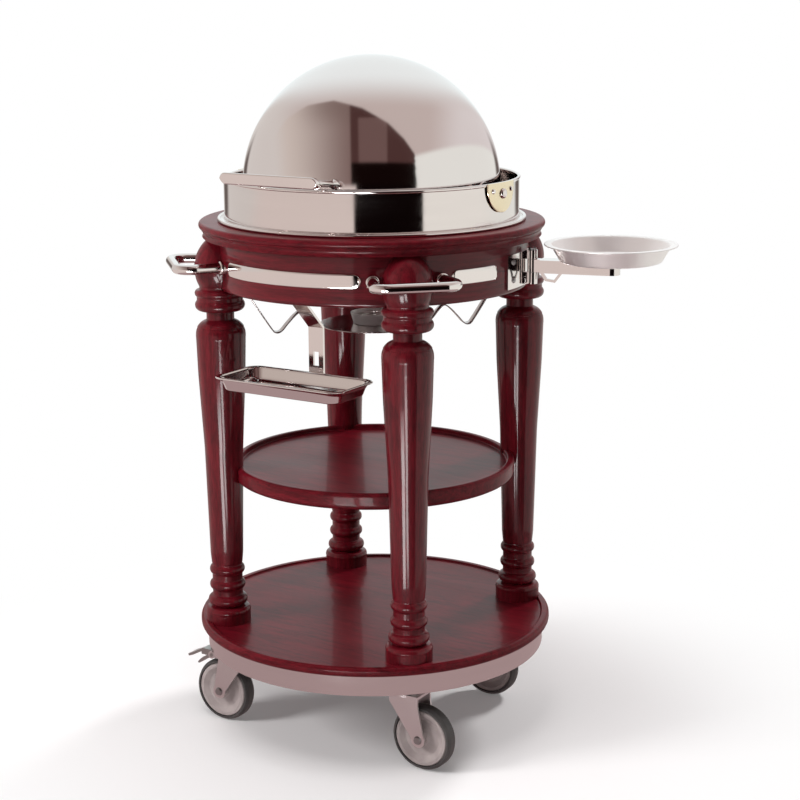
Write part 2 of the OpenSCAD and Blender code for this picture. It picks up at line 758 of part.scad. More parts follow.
module fork(brake) color(fork_metal) difference() {
    union() {
        for (s = [-1, 1]) translate([0, s > 0 ? fork_outer : -fork_inner, 0]) rotate([90, 0, 0])
            linear_extrude(3) {
            polygon([[-20, crown_top], [-20, crown_top - 14], [caster_trail - 11, wheel_radius],
                [caster_trail + 11, wheel_radius], [32, crown_top - 16], [32, crown_top]]);
            translate([caster_trail, wheel_radius]) circle(r = 12);
            if (brake) {
                translate([20, brake_z - 4]) square([brake_x - 20, 8]);
                translate([brake_x, brake_z]) circle(r = 6.5);
            }
        }
        translate([-20, -fork_outer, crown_bottom]) cube([52, 2 * fork_outer, 4]);
        translate([0, 0, crown_bottom]) cylinder(r = 23, h = 4);
    }
    translate([0, 0, crown_bottom - 1]) cylinder(r = 6 + running_fit, h = 6);
    translate([caster_trail, 30, wheel_radius]) rotate([90, 0, 0]) cylinder(r = axle_bore, h = 60);
    if (brake) translate([brake_x, 30, brake_z]) rotate([90, 0, 0])
        cylinder(r = brake_pin + running_fit, h = 60);
}

module axle() color(grey_metal) translate([caster_trail, 0, wheel_radius]) rotate([90, 0, 0]) {
    translate([0, 0, -fork_outer - 2]) cylinder(r = axle_radius, h = 2 * fork_outer + 4);
    translate([0, 0, fork_outer]) cylinder(r1 = 7, r2 = 5.5, h = 3);
    translate([0, 0, -fork_outer - 3]) cylinder(r1 = 5.5, r2 = 7, h = 3);
}

module wheel() color(wheel_grey) translate([caster_trail, 0, wheel_radius]) rotate([90, 0, 0])
    rotate_extrude() {
    bore = axle_radius + running_fit;
    translate([bore, -fork_inner + slip_gap]) square([9 - bore, 2 * fork_inner - 2 * slip_gap]);
    translate([8, -6]) square([hub_radius - 16, 12]);
    polygon([[hub_radius - 13, -6], [hub_radius - 6, -wheel_width / 2 + 3],
        [hub_radius - 2, -wheel_width / 2 + 3],
        [hub_radius, -wheel_width / 2 + 5], [hub_radius, wheel_width / 2 - 5],
        [hub_radius - 2, wheel_width / 2 - 3], [hub_radius - 6, wheel_width / 2 - 3], [hub_radius - 13, 6]]);
}

module tyre() color(tyre_grey) translate([caster_trail, 0, wheel_radius]) rotate([90, 0, 0])
    rotate_extrude() {
    w = wheel_width / 2 - 2.5;
    a = hub_radius + seat_gap;
    polygon([[a, -w], [wheel_radius - 3, -w], [wheel_radius, -w + 5], [wheel_radius, w - 5],
        [wheel_radius - 3, w], [a, w]]);
}

// brake pedal: a claw over the tyre with a toe lip, on a pin between the fork's ears
module brake() color(tyre_grey) {
    translate([brake_x, 0, brake_z]) rotate([90, 0, 0]) {
        translate([0, 0, -fork_outer - 1]) cylinder(r = brake_pin, h = 2 * fork_outer + 2);
        translate([0, 0, -fork_inner + slip_gap]) cylinder(r = 5.5, h = 2 * fork_inner - 2 * slip_gap);
    }
    translate([0, 13, 0]) rotate([90, 0, 0]) linear_extrude(26) {
        intersection() {
            translate([caster_trail, wheel_radius]) difference() {
                circle(r = wheel_radius + 11);
                circle(r = wheel_radius + 7.5);
            }
            polygon([[brake_x, brake_z + 8], [brake_x + 34, brake_z + 8], [brake_x + 34, brake_z - 22],
                [brake_x + 20, brake_z - 22], [brake_x, brake_z - 5]]);
        }
        strip([[brake_x, brake_z + 3], [brake_x + 22, brake_z + 4], [brake_x + 44, brake_z - 8],
            [brake_x + 54, brake_z - 12]], 4);
        translate([brake_x + 4, brake_z - 5]) square([22, 8]);
    }
}

module fork_front_left() at_caster(-45, -1) fork(true);
module fork_front_right() at_caster(45, 1) fork(false);
module fork_back_right() at_caster(135, -1) fork(false);
module fork_back_left() at_caster(-135, -1) fork(true);
module axle_front_left() at_caster(-45, -1) axle();
module axle_front_right() at_caster(45, 1) axle();
module axle_back_right() at_caster(135, -1) axle();
module axle_back_left() at_caster(-135, -1) axle();
module wheel_front_left() at_caster(-45, -1) wheel();
module wheel_front_right() at_caster(45, 1) wheel();
module wheel_back_right() at_caster(135, -1) wheel();
module wheel_back_left() at_caster(-135, -1) wheel();
module tyre_front_left() at_caster(-45, -1) tyre();
module tyre_front_right() at_caster(45, 1) tyre();
module tyre_back_right() at_caster(135, -1) tyre();
module tyre_back_left() at_caster(-135, -1) tyre();
module brake_front_left() at_caster(-45, -1) brake();
module brake_back_left() at_caster(-135, -1) brake();

// ---- small screws in one piece each

module bracket_screws() color(grey_metal) {
    tray_screws(0);
    strap_screws(0);
    arm_screws(0);
    intersection() {
        for (a = [-45, 45]) at(a) handle_screws(0);
        ring(apron_inner + 0.3, apron_radius + 40, handle_z - 20, handle_z + 20);
    }
}

module drum_screws() color(steel) {
    for (k = [0:5]) at(30 + 60 * k) flange_screw(0);
    for (a = [90 - 6.5, 90 + 6.5, 270 - 6.5, 270 + 6.5]) plate_screw(a, 0);
}

base_board();
base_band();
bottom_shelf();
leg_front_left();
leg_front_right();
leg_back_right();
leg_back_left();
middle_shelf();
shelf_dowels();
apron();
band_front();
band_right();
band_back();
band_left();
top_board();
drum();
pivot_plates();
pivot_shafts();
pan_frame();
leg_bolts();
handle_front_left();
handle_front_right();
handle_flanges();
tray_bracket();
arm_bracket();
burner_strap();
burner_cup();
caster_plates();
caster_plate_screws();
bracket_screws();
drum_screws();
dome();
dome_handle();
dome_handle_posts();
water_pan();
carving_board();
plate_arm();
arm_pin();
plate_dish();
tray();
fuel_can();
fork_front_left();
fork_front_right();
fork_back_right();
fork_back_left();
axle_front_left();
axle_front_right();
axle_back_right();
axle_back_left();
wheel_front_left();
wheel_front_right();
wheel_back_right();
wheel_back_left();
tyre_front_left();
tyre_front_right();
tyre_back_right();
tyre_back_left();
brake_front_left();
brake_back_left();
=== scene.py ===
import math

import bmesh
import bpy
import numpy as np
from mathutils import Matrix


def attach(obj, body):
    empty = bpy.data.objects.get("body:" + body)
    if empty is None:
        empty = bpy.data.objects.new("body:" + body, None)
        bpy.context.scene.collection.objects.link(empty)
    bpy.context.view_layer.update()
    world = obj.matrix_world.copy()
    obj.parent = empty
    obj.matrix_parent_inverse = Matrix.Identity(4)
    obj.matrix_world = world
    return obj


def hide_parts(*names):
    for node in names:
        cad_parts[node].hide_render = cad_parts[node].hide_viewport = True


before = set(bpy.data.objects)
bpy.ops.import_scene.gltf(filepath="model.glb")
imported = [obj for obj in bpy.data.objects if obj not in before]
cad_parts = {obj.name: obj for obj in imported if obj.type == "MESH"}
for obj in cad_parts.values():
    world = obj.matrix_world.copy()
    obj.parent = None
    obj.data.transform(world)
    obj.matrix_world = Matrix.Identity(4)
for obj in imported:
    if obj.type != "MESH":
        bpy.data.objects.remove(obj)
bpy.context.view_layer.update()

scene = bpy.context.scene

# ---- Camera
# The photograph was taken from 2.9 m away, 1.2 m up, 33 degrees round to the
# trolley's right, looking slightly down.
VIEW = math.radians(33.0)
PITCH, YAW, ROLL = (math.radians(v) for v in (12.908, 0.852, -0.325))
AWAY, EYE_HEIGHT, LENS = 2.9023, 1.2021, 82.03


def from_view(across, depth, up):
    """Turns a vector in the picture's directions (right, away, up) into the trolley's: a turn by VIEW
    about Z."""
    return np.array([across * math.cos(VIEW) - depth * math.sin(VIEW),
                     across * math.sin(VIEW) + depth * math.cos(VIEW), up])


look = np.array([math.sin(YAW) * math.cos(PITCH), math.cos(YAW) * math.cos(PITCH), -math.sin(PITCH)])
level = np.array([math.cos(YAW), -math.sin(YAW), 0.0])
upward = np.cross(level, look)
right = level * math.cos(ROLL) + upward * math.sin(ROLL)
upward = upward * math.cos(ROLL) - level * math.sin(ROLL)
camera = bpy.data.objects.new("camera", bpy.data.cameras.new("camera"))
scene.collection.objects.link(camera)
turn = Matrix([from_view(*right), from_view(*upward), -from_view(*look)]).transposed().to_4x4()
camera.matrix_world = Matrix.Translation(from_view(0.0, -AWAY, EYE_HEIGHT)) @ turn
camera.data.lens = LENS
camera.data.sensor_width = 36.0
camera.data.clip_end = 60.0
scene.camera = camera

# ---- Studio
# A pale floor and soft lamps. A coloured room, a near floor and two wedges of
# light stand round the trolley and only show in the polished metal and lacquer.
scene.view_settings.view_transform = "Standard"


def material(name):
    """A new node material; returns it, its node tree and its Principled shader."""
    made = bpy.data.materials.new(name)
    made.use_nodes = True
    tree = made.node_tree
    tree.nodes.clear()
    out = tree.nodes.new("ShaderNodeOutputMaterial")
    skin_shader = tree.nodes.new("ShaderNodeBsdfPrincipled")
    tree.links.new(skin_shader.outputs[0], out.inputs[0])
    return made, tree, skin_shader


world = bpy.data.worlds.new("room")
scene.world = world
world.use_nodes = True
tree = world.node_tree
tree.nodes.clear()
out = tree.nodes.new("ShaderNodeOutputWorld")
seen = tree.nodes.new("ShaderNodeBackground")
seen.inputs["Color"].default_value = (1.0, 1.0, 1.0, 1.0)
lit = tree.nodes.new("ShaderNodeBackground")
lit.inputs["Color"].default_value = (0.95, 0.90, 0.90, 1.0)
lit.inputs["Strength"].default_value = 0.27
rays = tree.nodes.new("ShaderNodeLightPath")
pick = tree.nodes.new("ShaderNodeMixShader")
tree.links.new(rays.outputs["Is Camera Ray"], pick.inputs[0])
tree.links.new(lit.outputs[0], pick.inputs[1])
tree.links.new(seen.outputs[0], pick.inputs[2])
tree.links.new(pick.outputs[0], out.inputs[0])

floor_mesh = bpy.data.meshes.new("studio_floor")
floor_mesh.from_pydata([(-30, -30, 0), (30, -30, 0), (30, 30, 0), (-30, 30, 0)], [], [(0, 1, 2, 3)])
floor = bpy.data.objects.new("studio_floor", floor_mesh)
scene.collection.objects.link(floor)
paint, tree, shader = material("studio_floor")
shader.inputs["Base Color"].default_value = (0.88, 0.86, 0.86, 1.0)
shader.inputs["Roughness"].default_value = 0.9
shader.inputs["Specular IOR Level"].default_value = 0.1
glow = tree.nodes.new("ShaderNodeEmission")
where = tree.nodes.new("ShaderNodeTexCoord")
reach = tree.nodes.new("ShaderNodeVectorMath")
reach.operation = "LENGTH"
fade = tree.nodes.new("ShaderNodeMapRange")
fade.interpolation_type = "SMOOTHSTEP"
fade.inputs["From Min"].default_value = 0.35
fade.inputs["From Max"].default_value = 0.95
fade.inputs["To Min"].default_value = 0.12
rays = tree.nodes.new("ShaderNodeLightPath")
near = tree.nodes.new("ShaderNodeMath")
near.operation = "MULTIPLY"
pick = tree.nodes.new("ShaderNodeMixShader")
tree.links.new(where.outputs["Object"], reach.inputs[0])
tree.links.new(reach.outputs["Value"], fade.inputs["Value"])
tree.links.new(fade.outputs[0], near.inputs[0])
tree.links.new(rays.outputs["Is Camera Ray"], near.inputs[1])
tree.links.new(near.outputs[0], pick.inputs[0])
tree.links.new(shader.outputs[0], pick.inputs[1])
tree.links.new(glow.outputs[0], pick.inputs[2])
tree.links.new(pick.outputs[0], tree.nodes["Material Output"].inputs[0])
floor_mesh.materials.append(paint)
floor.visible_glossy = False


def seen_in_polish(name, points, faces, colours):
    """Stage surface that only shows in reflections: it glows with the colour given to each point."""
    mesh = bpy.data.meshes.new(name)
    mesh.from_pydata(np.asarray(points, float).tolist(), [], faces)
    tint = mesh.color_attributes.new("glow", "FLOAT_COLOR", "POINT")
    tint.data.foreach_set("color", np.column_stack([colours, np.ones(len(colours))]).ravel())
    made = bpy.data.materials.new(name)
    made.use_nodes = True
    made.node_tree.nodes.clear()
    end = made.node_tree.nodes.new("ShaderNodeOutputMaterial")
    give = made.node_tree.nodes.new("ShaderNodeEmission")
    read = made.node_tree.nodes.new("ShaderNodeVertexColor")
    read.layer_name = "glow"
    made.node_tree.links.new(read.outputs[0], give.inputs[0])
    made.node_tree.links.new(give.outputs[0], end.inputs[0])
    mesh.materials.append(made)
    card = bpy.data.objects.new(name, mesh)
    scene.collection.objects.link(card)
    card.visible_camera = card.visible_diffuse = card.visible_shadow = card.visible_transmission = False


STEEL = (0.80, 0.745, 0.735)


def ease(value, low, high):
    """0 below low, 1 above high, 3t^2 - 2t^3 between; the other way round if low is the higher."""
    t = np.clip((value - low) / (high - low), 0, 1)
    return t * t * (3 - 2 * t)


def over(under, colour, mask):
    """Colour laid over what is under it by a mask."""
    return under + (np.array(colour) - under) * mask[..., None]


MIRROR_X, MIRROR_Y, MIRROR_RADIUS = 374, 183, 129

# The room's shapes as the photo's dome mirrors them: each one's colour, as 0 to 255, and where it
# begins and where it is full, in the photo's pixels across (side, left, right) or down (top, end).
SWEEP, SWEEP_END = (226, 226, 225), (78, 116)
WALL = (184, 166, 161)
RIGHT_WALL, RIGHT_WALL_SIDE, RIGHT_WALL_TOP = (206, 194, 192), (425, 462), (84, 112)
LEFT_WALL, LEFT_WALL_SIDE, LEFT_WALL_TOP = (199, 188, 183), (318, 282), (80, 104)
PALE_WALL, PALE_SIDE, PALE_TOP = (219, 214, 208), (412, 416), (120, 130)
PALE_SLANT, PALE_FROM, PALE_EDGE = 0.36, 415, (159, 165)
ARCH_X = [276, 286, 297, 316, 340, 366, 390, 405, 415, 418]
ARCH_Y = [150, 130, 118, 109, 107, 116, 131, 146, 160, 200]
ARCH_EDGE, ARCH_LEFT, ARCH_RIGHT = (-1.5, 1.5), (280, 300), (418.5, 416.5)
ARCH_PALE, ARCH_BROWN, BROWN_SIDE = (196, 180, 172), (118, 95, 91), (285, 362)
ARCH_DARK, DARK_TOP, DARK_SIDE, DARK_SHARE = (112, 92, 87), (140, 112), (296, 340), 0.55
ARCH_FOOT, FOOT_TOP, FOOT_SIDE = (208, 192, 183), (172, 196), (330, 300)
DOOR, DOOR_SIDE = (74, 51, 49), (353.5, 355.5)
PANEL, PANEL_LEFT, PANEL_RIGHT, PANEL_TOP = (103, 79, 76), (361, 363), (390, 388), (124, 127)
DOOR_DARK, DOOR_DARK_TOP = (22, 14, 13), (167, 171)
GROUND, GROUND_TOP = (204, 186, 180), (188, 194)
GROUND_DARK, DARK_LEFT, DARK_RIGHT = (18, 12, 12), (358, 360), (418, 416.5)
GROUND_PALE, GROUND_PALE_SIDE = (224, 216, 209), (416.5, 418)
GROUND_CORNER, CORNER_SIDE = (70, 50, 49), (253, 250)
# The grey line along the dome's two sides: in shares of the dome's radius and in degrees up from level.
LIMB, LIMB_IN, LIMB_OUT, LIMB_LOW, LIMB_HIGH = (96, 84, 80), (0.945, 0.965), (0.995, 0.98), (2, 10), (38, 22)


def room_colours(directions):
    """Colour of the studio in each direction, laid out as the dome mirrors it: a direction's place is
    the normal that turns it to the camera, n = (d + c) / |d + c|, times the dome's radius. A white
    sweep is above, a beige wall below it, a brown arch with a dark doorway in the middle, a bright
    wall at the lower right, cream floor at the bottom, a grey line along the dome's sides."""
    front = from_view(0.0, -math.cos(PITCH), math.sin(PITCH))
    normal = directions + front
    normal /= np.linalg.norm(normal, axis=-1, keepdims=True) + 1e-9
    nx, ny = normal @ from_view(1.0, 0.0, 0.0), normal @ from_view(0.0, math.sin(PITCH), math.cos(PITCH))
    x, y = MIRROR_X + MIRROR_RADIUS * nx, MIRROR_Y - MIRROR_RADIUS * ny

    def shade(colour):
        """Light that the steel shows as this colour: (colour / 255) to the power 2.2, over the steel's."""
        return (np.array(colour) / 255) ** 2.2 / STEEL

    def flat(colour):
        """The same shade everywhere."""
        return np.zeros(x.shape + (3,)) + shade(colour)

    room = over(flat(SWEEP), shade(WALL), ease(y, *SWEEP_END))
    room = over(room, shade(RIGHT_WALL), ease(x, *RIGHT_WALL_SIDE) * ease(y, *RIGHT_WALL_TOP))
    room = over(room, shade(LEFT_WALL), ease(x, *LEFT_WALL_SIDE) * ease(y, *LEFT_WALL_TOP))
    pale = ease(y + PALE_SLANT * (x - PALE_FROM), *PALE_EDGE) * ease(x, *PALE_SIDE) * ease(y, *PALE_TOP)
    room = over(room, shade(PALE_WALL), pale)
    arch = ease(y - np.interp(x, ARCH_X, ARCH_Y), *ARCH_EDGE) * ease(x, *ARCH_LEFT) * ease(x, *ARCH_RIGHT)
    brown = over(flat(ARCH_PALE), shade(ARCH_BROWN), ease(x, *BROWN_SIDE))
    brown = over(brown, shade(ARCH_DARK), DARK_SHARE * ease(y, *DARK_TOP) * ease(x, *DARK_SIDE))
    brown = over(brown, shade(ARCH_FOOT), ease(y, *FOOT_TOP) * ease(x, *FOOT_SIDE))
    panel = ease(x, *PANEL_LEFT) * ease(x, *PANEL_RIGHT) * ease(y, *PANEL_TOP)
    door = over(over(flat(DOOR), shade(PANEL), panel), shade(DOOR_DARK), ease(y, *DOOR_DARK_TOP))
    inside = brown + (door - brown) * ease(x, *DOOR_SIDE)[..., None]
    room = room + (inside - room) * arch[..., None]
    ground = over(flat(GROUND), shade(GROUND_DARK), ease(x, *DARK_LEFT) * ease(x, *DARK_RIGHT))
    ground = over(ground, shade(GROUND_PALE), ease(x, *GROUND_PALE_SIDE))
    ground = over(ground, shade(GROUND_CORNER), ease(x, *CORNER_SIDE))
    room = room + (ground - room) * ease(y, *GROUND_TOP)[..., None]
    edge, height = np.hypot(nx, ny), np.degrees(np.arctan2(ny, np.abs(nx)))
    limb = ease(edge, *LIMB_IN) * ease(edge, *LIMB_OUT) * ease(height, *LIMB_LOW) * ease(height, *LIMB_HIGH)
    return over(room, shade(LIMB), limb)


az, el = np.meshgrid(np.linspace(-180, 180, 361), np.linspace(-90, 90, 181))
turned = VIEW + np.radians(az)
directions = np.stack([np.cos(np.radians(el)) * np.sin(turned), -np.cos(np.radians(el)) * np.cos(turned),
                       np.sin(np.radians(el))], -1)
ROOM_RADIUS, ROOM_MIDDLE = 9.0, [0.0, 0.0, 0.9]
points = ROOM_RADIUS * directions + ROOM_MIDDLE
index = np.arange(az.size).reshape(az.shape)
quads = np.stack([index[:-1, :-1], index[:-1, 1:], index[1:, 1:], index[1:, :-1]], -1).reshape(-1, 4)
seen_in_polish("studio_room", points.reshape(-1, 3), quads.tolist(),
               room_colours(directions).reshape(-1, 3))
NEAR_FLOOR, NEAR_FLOOR_COLOUR = 0.98, [0.44, 0.325, 0.325]
rim = np.linspace(0, 2 * np.pi, 65)[:-1]
disc = np.column_stack([NEAR_FLOOR * np.cos(rim), NEAR_FLOOR * np.sin(rim), np.full(64, 0.002)])
seen_in_polish("studio_near_floor", disc, [list(range(64))], np.tile(NEAR_FLOOR_COLOUR, (64, 1)))

# A pale wedge on the floor before the front leg and one before the right leg draw the upright line
# of light on them: the leg's place in the picture's directions, the way the wedge points and its
# width in degrees, where it starts and ends, and how strong it is.
for name, place, aim, wide, near, far, power in (("front", (0.048, -0.224), -28, 17, 0.70, 1.75, 20.0),
                                                 ("right", (0.224, 0.048), -13, 9, 1.05, 2.9, 16.0)):
    wedge, glow = [], []
    for reach, strength in ((near, 0.0), (near * 1.25, power), (far * 0.8, power), (far, 0.0)):
        for edge in (-wide / 2, wide / 2):
            t = math.radians(aim + edge)
            wedge.append(from_view(place[0] + reach * math.sin(t), place[1] - reach * math.cos(t), 0.004))
            glow.append([strength] * 3)
    seen_in_polish(f"studio_wedge_{name}", wedge, [[0, 1, 3, 2], [2, 3, 5, 4], [4, 5, 7, 6]], glow)


def lamp(name, azimuth, distance, height, size, power):
    """Square soft lamp pointing at the middle of the trolley, not seen in the polish."""
    t = VIEW + math.radians(azimuth)
    spot = np.array([math.sin(t) * distance, -math.cos(t) * distance, height])
    light = bpy.data.objects.new(name, bpy.data.lights.new(name, "AREA"))
    light.data.size = size
    light.data.energy = power
    light.visible_glossy = False
    scene.collection.objects.link(light)
    aim = np.array([0.0, 0.0, 0.6]) - spot
    aim /= np.linalg.norm(aim)
    across = np.cross(aim, [0.0, 0.0, 1.0])
    across /= np.linalg.norm(across)
    light.matrix_world = Matrix.Translation(spot) @ Matrix(
        [across, np.cross(across, aim), -aim]).transposed().to_4x4()


lamp("lamp_top", -30.0, 0.9, 3.2, 1.8, 46.0)
lamp("lamp_left", -68.0, 2.8, 1.7, 0.9, 60.0)
lamp("lamp_right", 136.0, 2.8, 1.9, 0.6, 74.0)

# ---- Bottom shelf and the board under it
# Dark red lacquered boards; the shelf has a rounded, slightly raised rim. A
# stainless skirt is bent round the board under it.


def rounded(points, radii, steps=6):
    """Outline with its corners rounded: each corner is an arc of its radius, tangent to both sides,
    with a point a little past each end so that flat stretches stay flat."""
    made = [np.atleast_2d(points[0]).astype(float)]
    for before, corner, after, radius in zip(points[:-2], points[1:-1], points[2:], radii[1:-1]):
        before, corner, after = (np.asarray(p, float) for p in (before, corner, after))
        a, b = before - corner, after - corner
        la, lb = np.linalg.norm(a), np.linalg.norm(b)
        a, b = a / la, b / lb
        half = math.acos(np.clip(a @ b, -1, 1)) / 2
        if radius <= 0 or half > 1.55:
            made.append(corner[None])
            continue
        reach = min(radius / math.tan(half), 0.48 * la, 0.48 * lb)
        radius = reach * math.tan(half)
        middle = corner + (a + b) / np.linalg.norm(a + b) * radius / math.sin(half)
        start, stop = corner + a * reach - middle, corner + b * reach - middle
        sweep = math.atan2(start[0] * stop[1] - start[1] * stop[0], start @ stop)
        t = np.linspace(0, sweep, steps)[:, None]
        arc = middle + start * np.cos(t) + np.array([-start[1], start[0]]) * np.sin(t)
        made.append(np.vstack([corner + a * min(reach * 1.25, 0.49 * la), arc,
                               corner + b * min(reach * 1.25, 0.49 * lb)]))
    made.append(np.atleast_2d(points[-1]).astype(float))
    return np.vstack(made)


def skin(name, grid, around=True, along=False, sharp=40.0):
    """Closed surface through a grid of points in millimetres, [rows, columns, xyz]: neighbours are
    joined by quads, columns wrap if around, rows if along. UV is the distance run along the columns
    and rows, in metres."""
    grid = np.asarray(grid, float) / 1000
    rows, columns = grid.shape[:2]
    index = np.arange(rows * columns).reshape(rows, columns)
    full = grid
    if around:
        index, full = np.hstack([index, index[:, :1]]), np.hstack([full, full[:, :1]])
    if along:
        index, full = np.vstack([index, index[:1]]), np.vstack([full, full[:1]])
    u = np.zeros(full.shape[:2])
    v = np.zeros(full.shape[:2])
    u[:, 1:] = np.cumsum(np.linalg.norm(np.diff(full, axis=1), axis=2).mean(0))[None]
    v[1:] = np.cumsum(np.linalg.norm(np.diff(full, axis=0), axis=2).mean(1))[:, None]
    uv = np.stack([u, v], -1)
    corners = [(slice(None, -1), slice(None, -1)), (slice(None, -1), slice(1, None)),
               (slice(1, None), slice(1, None)), (slice(1, None), slice(None, -1))]
    quads = np.stack([index[c] for c in corners], -1).reshape(-1, 4)
    uvs = np.stack([uv[c] for c in corners], -2).reshape(-1, 2)
    mesh = bpy.data.meshes.new(name)
    mesh.from_pydata(grid.reshape(-1, 3).tolist(), [], quads.tolist())
    mesh.uv_layers.new(name="run").data.foreach_set("uv", uvs.ravel())
    work = bmesh.new()
    work.from_mesh(mesh)
    bmesh.ops.remove_doubles(work, verts=work.verts, dist=1e-6)
    bmesh.ops.dissolve_degenerate(work, edges=work.edges, dist=1e-7)
    bmesh.ops.recalc_face_normals(work, faces=work.faces)
    work.to_mesh(mesh)
    work.free()
    mesh.shade_smooth()
    mesh.set_sharp_from_angle(angle=math.radians(sharp))
    piece = bpy.data.objects.new(name, mesh)
    scene.collection.objects.link(piece)
    return piece


def turned_grid(profile, columns=160):
    """Points of a surface of revolution about Z: (r cos t, r sin t, z) for each profile point (r, z)."""
    t = np.linspace(0, 2 * math.pi, columns, endpoint=False)
    profile = np.asarray(profile, float)
    return np.stack([profile[:, :1] * np.cos(t), profile[:, :1] * np.sin(t),
                     np.repeat(profile[:, 1:2], columns, 1)], -1)


def fitted(piece, body, slot, paint, *nodes):
    """Paints a piece, fixes it to its body and says which CAD nodes it stands for; slot is not used."""
    piece.data.materials.clear()
    piece.data.materials.append(paint)
    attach(piece, body)
    if nodes:
        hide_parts(*nodes)
    return piece


def painted(paint, *nodes):
    """Gives CAD nodes that keep their own shape a material."""
    for n in nodes:
        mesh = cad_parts[n].data
        mesh.materials.clear()
        mesh.materials.append(paint)


grain_group = bpy.data.node_groups.new("wood_figure", "ShaderNodeTree")
grain_group.interface.new_socket("Vector", in_out="INPUT", socket_type="NodeSocketVector")
for label in ("Figure", "Fibre", "Cloud"):
    grain_group.interface.new_socket(label, in_out="OUTPUT", socket_type="NodeSocketFloat")
enter = grain_group.nodes.new("NodeGroupInput")
leave = grain_group.nodes.new("NodeGroupOutput")
for label, scale, detail, twist in (("Figure", 7.0, 6.0, 1.4), ("Fibre", 60.0, 3.0, 0.0),
                                    ("Cloud", 1.3, 2.0, 0.3)):
    noise = grain_group.nodes.new("ShaderNodeTexNoise")
    noise.inputs["Scale"].default_value = scale
    noise.inputs["Detail"].default_value = detail
    noise.inputs["Distortion"].default_value = twist
    grain_group.links.new(enter.outputs[0], noise.inputs["Vector"])
    grain_group.links.new(noise.outputs[0], leave.inputs[label])


def lacquered(name, run, coordinates="Object", dark=(0.040, 0.0020, 0.0042),
              light=(0.160, 0.0062, 0.0135), gloss=0.07, coat=0.14):
    """Mahogany under lacquer: fine fibres and broad figure drawn out along run (x, y, z scales), under
    a clear coat with a faint ripple."""
    made, tree, shader = material(name)
    where = tree.nodes.new("ShaderNodeTexCoord")
    place = tree.nodes.new("ShaderNodeMapping")
    place.inputs["Scale"].default_value = run
    place.inputs["Location"].default_value = (2.3, 5.1, 3.7)
    tree.links.new(where.outputs[coordinates], place.inputs["Vector"])
    figure = tree.nodes.new("ShaderNodeGroup")
    figure.node_tree = grain_group
    tree.links.new(place.outputs[0], figure.inputs[0])
    ramp = tree.nodes.new("ShaderNodeValToRGB")
    ramp.color_ramp.elements[0].position = 0.30
    ramp.color_ramp.elements[0].color = (*dark, 1.0)
    ramp.color_ramp.elements[1].position = 0.72
    ramp.color_ramp.elements[1].color = (*light, 1.0)
    blend = tree.nodes.new("ShaderNodeMath")
    blend.operation = "MULTIPLY_ADD"
    blend.inputs[1].default_value = 0.45
    tree.links.new(figure.outputs["Fibre"], blend.inputs[0])
    half = tree.nodes.new("ShaderNodeMath")
    half.operation = "MULTIPLY"
    half.inputs[1].default_value = 0.58
    tree.links.new(figure.outputs["Figure"], half.inputs[0])
    tree.links.new(half.outputs[0], blend.inputs[2])
    tree.links.new(blend.outputs[0], ramp.inputs[0])
    tree.links.new(ramp.outputs[0], shader.inputs["Base Color"])
    rough = tree.nodes.new("ShaderNodeMapRange")
    rough.inputs["To Min"].default_value = 0.30
    rough.inputs["To Max"].default_value = 0.42
    tree.links.new(figure.outputs["Cloud"], rough.inputs["Value"])
    tree.links.new(rough.outputs[0], shader.inputs["Roughness"])
    bump = tree.nodes.new("ShaderNodeBump")
    bump.inputs["Strength"].default_value = 0.04
    bump.inputs["Distance"].default_value = 0.0002
    tree.links.new(figure.outputs["Fibre"], bump.inputs["Height"])
    tree.links.new(bump.outputs[0], shader.inputs["Normal"])
    shader.inputs["Specular IOR Level"].default_value = 0.08
    shader.inputs["Coat Weight"].default_value = coat
    shader.inputs["Coat Roughness"].default_value = gloss
    shader.inputs["Coat IOR"].default_value = 1.5
    return made


board_wood = lacquered("lacquered_board", (1.2, 9.0, 9.0))
bottom_shelf = skin("shelf_bottom", turned_grid(rounded(
    [(0, 168.5), (289.9, 168.5), (289.9, 184), (277.2, 184), (276.9, 181), (0, 181)],
    [0, 6, 6.4, 1.4, 1.3, 0]), 224))
fitted(bottom_shelf, "trolley", "mahogany", board_wood, "bottom_shelf")
painted(lacquered("board_underside", (1.2, 9.0, 9.0), light=(0.07, 0.006, 0.009), gloss=0.25), "base_board")

polish_group = bpy.data.node_groups.new("polish_marks", "ShaderNodeTree")
polish_group.interface.new_socket("Vector", in_out="INPUT", socket_type="NodeSocketVector")
polish_group.interface.new_socket("Smudge", in_out="OUTPUT", socket_type="NodeSocketFloat")
polish_group.interface.new_socket("Lines", in_out="OUTPUT", socket_type="NodeSocketFloat")
enter = polish_group.nodes.new("NodeGroupInput")
leave = polish_group.nodes.new("NodeGroupOutput")
for label, scale, detail in (("Smudge", 9.0, 5.0), ("Lines", 400.0, 2.0)):
    noise = polish_group.nodes.new("ShaderNodeTexNoise")
    noise.inputs["Scale"].default_value = scale
    noise.inputs["Detail"].default_value = detail
    polish_group.links.new(enter.outputs[0], noise.inputs["Vector"])
    polish_group.links.new(noise.outputs[0], leave.inputs[label])


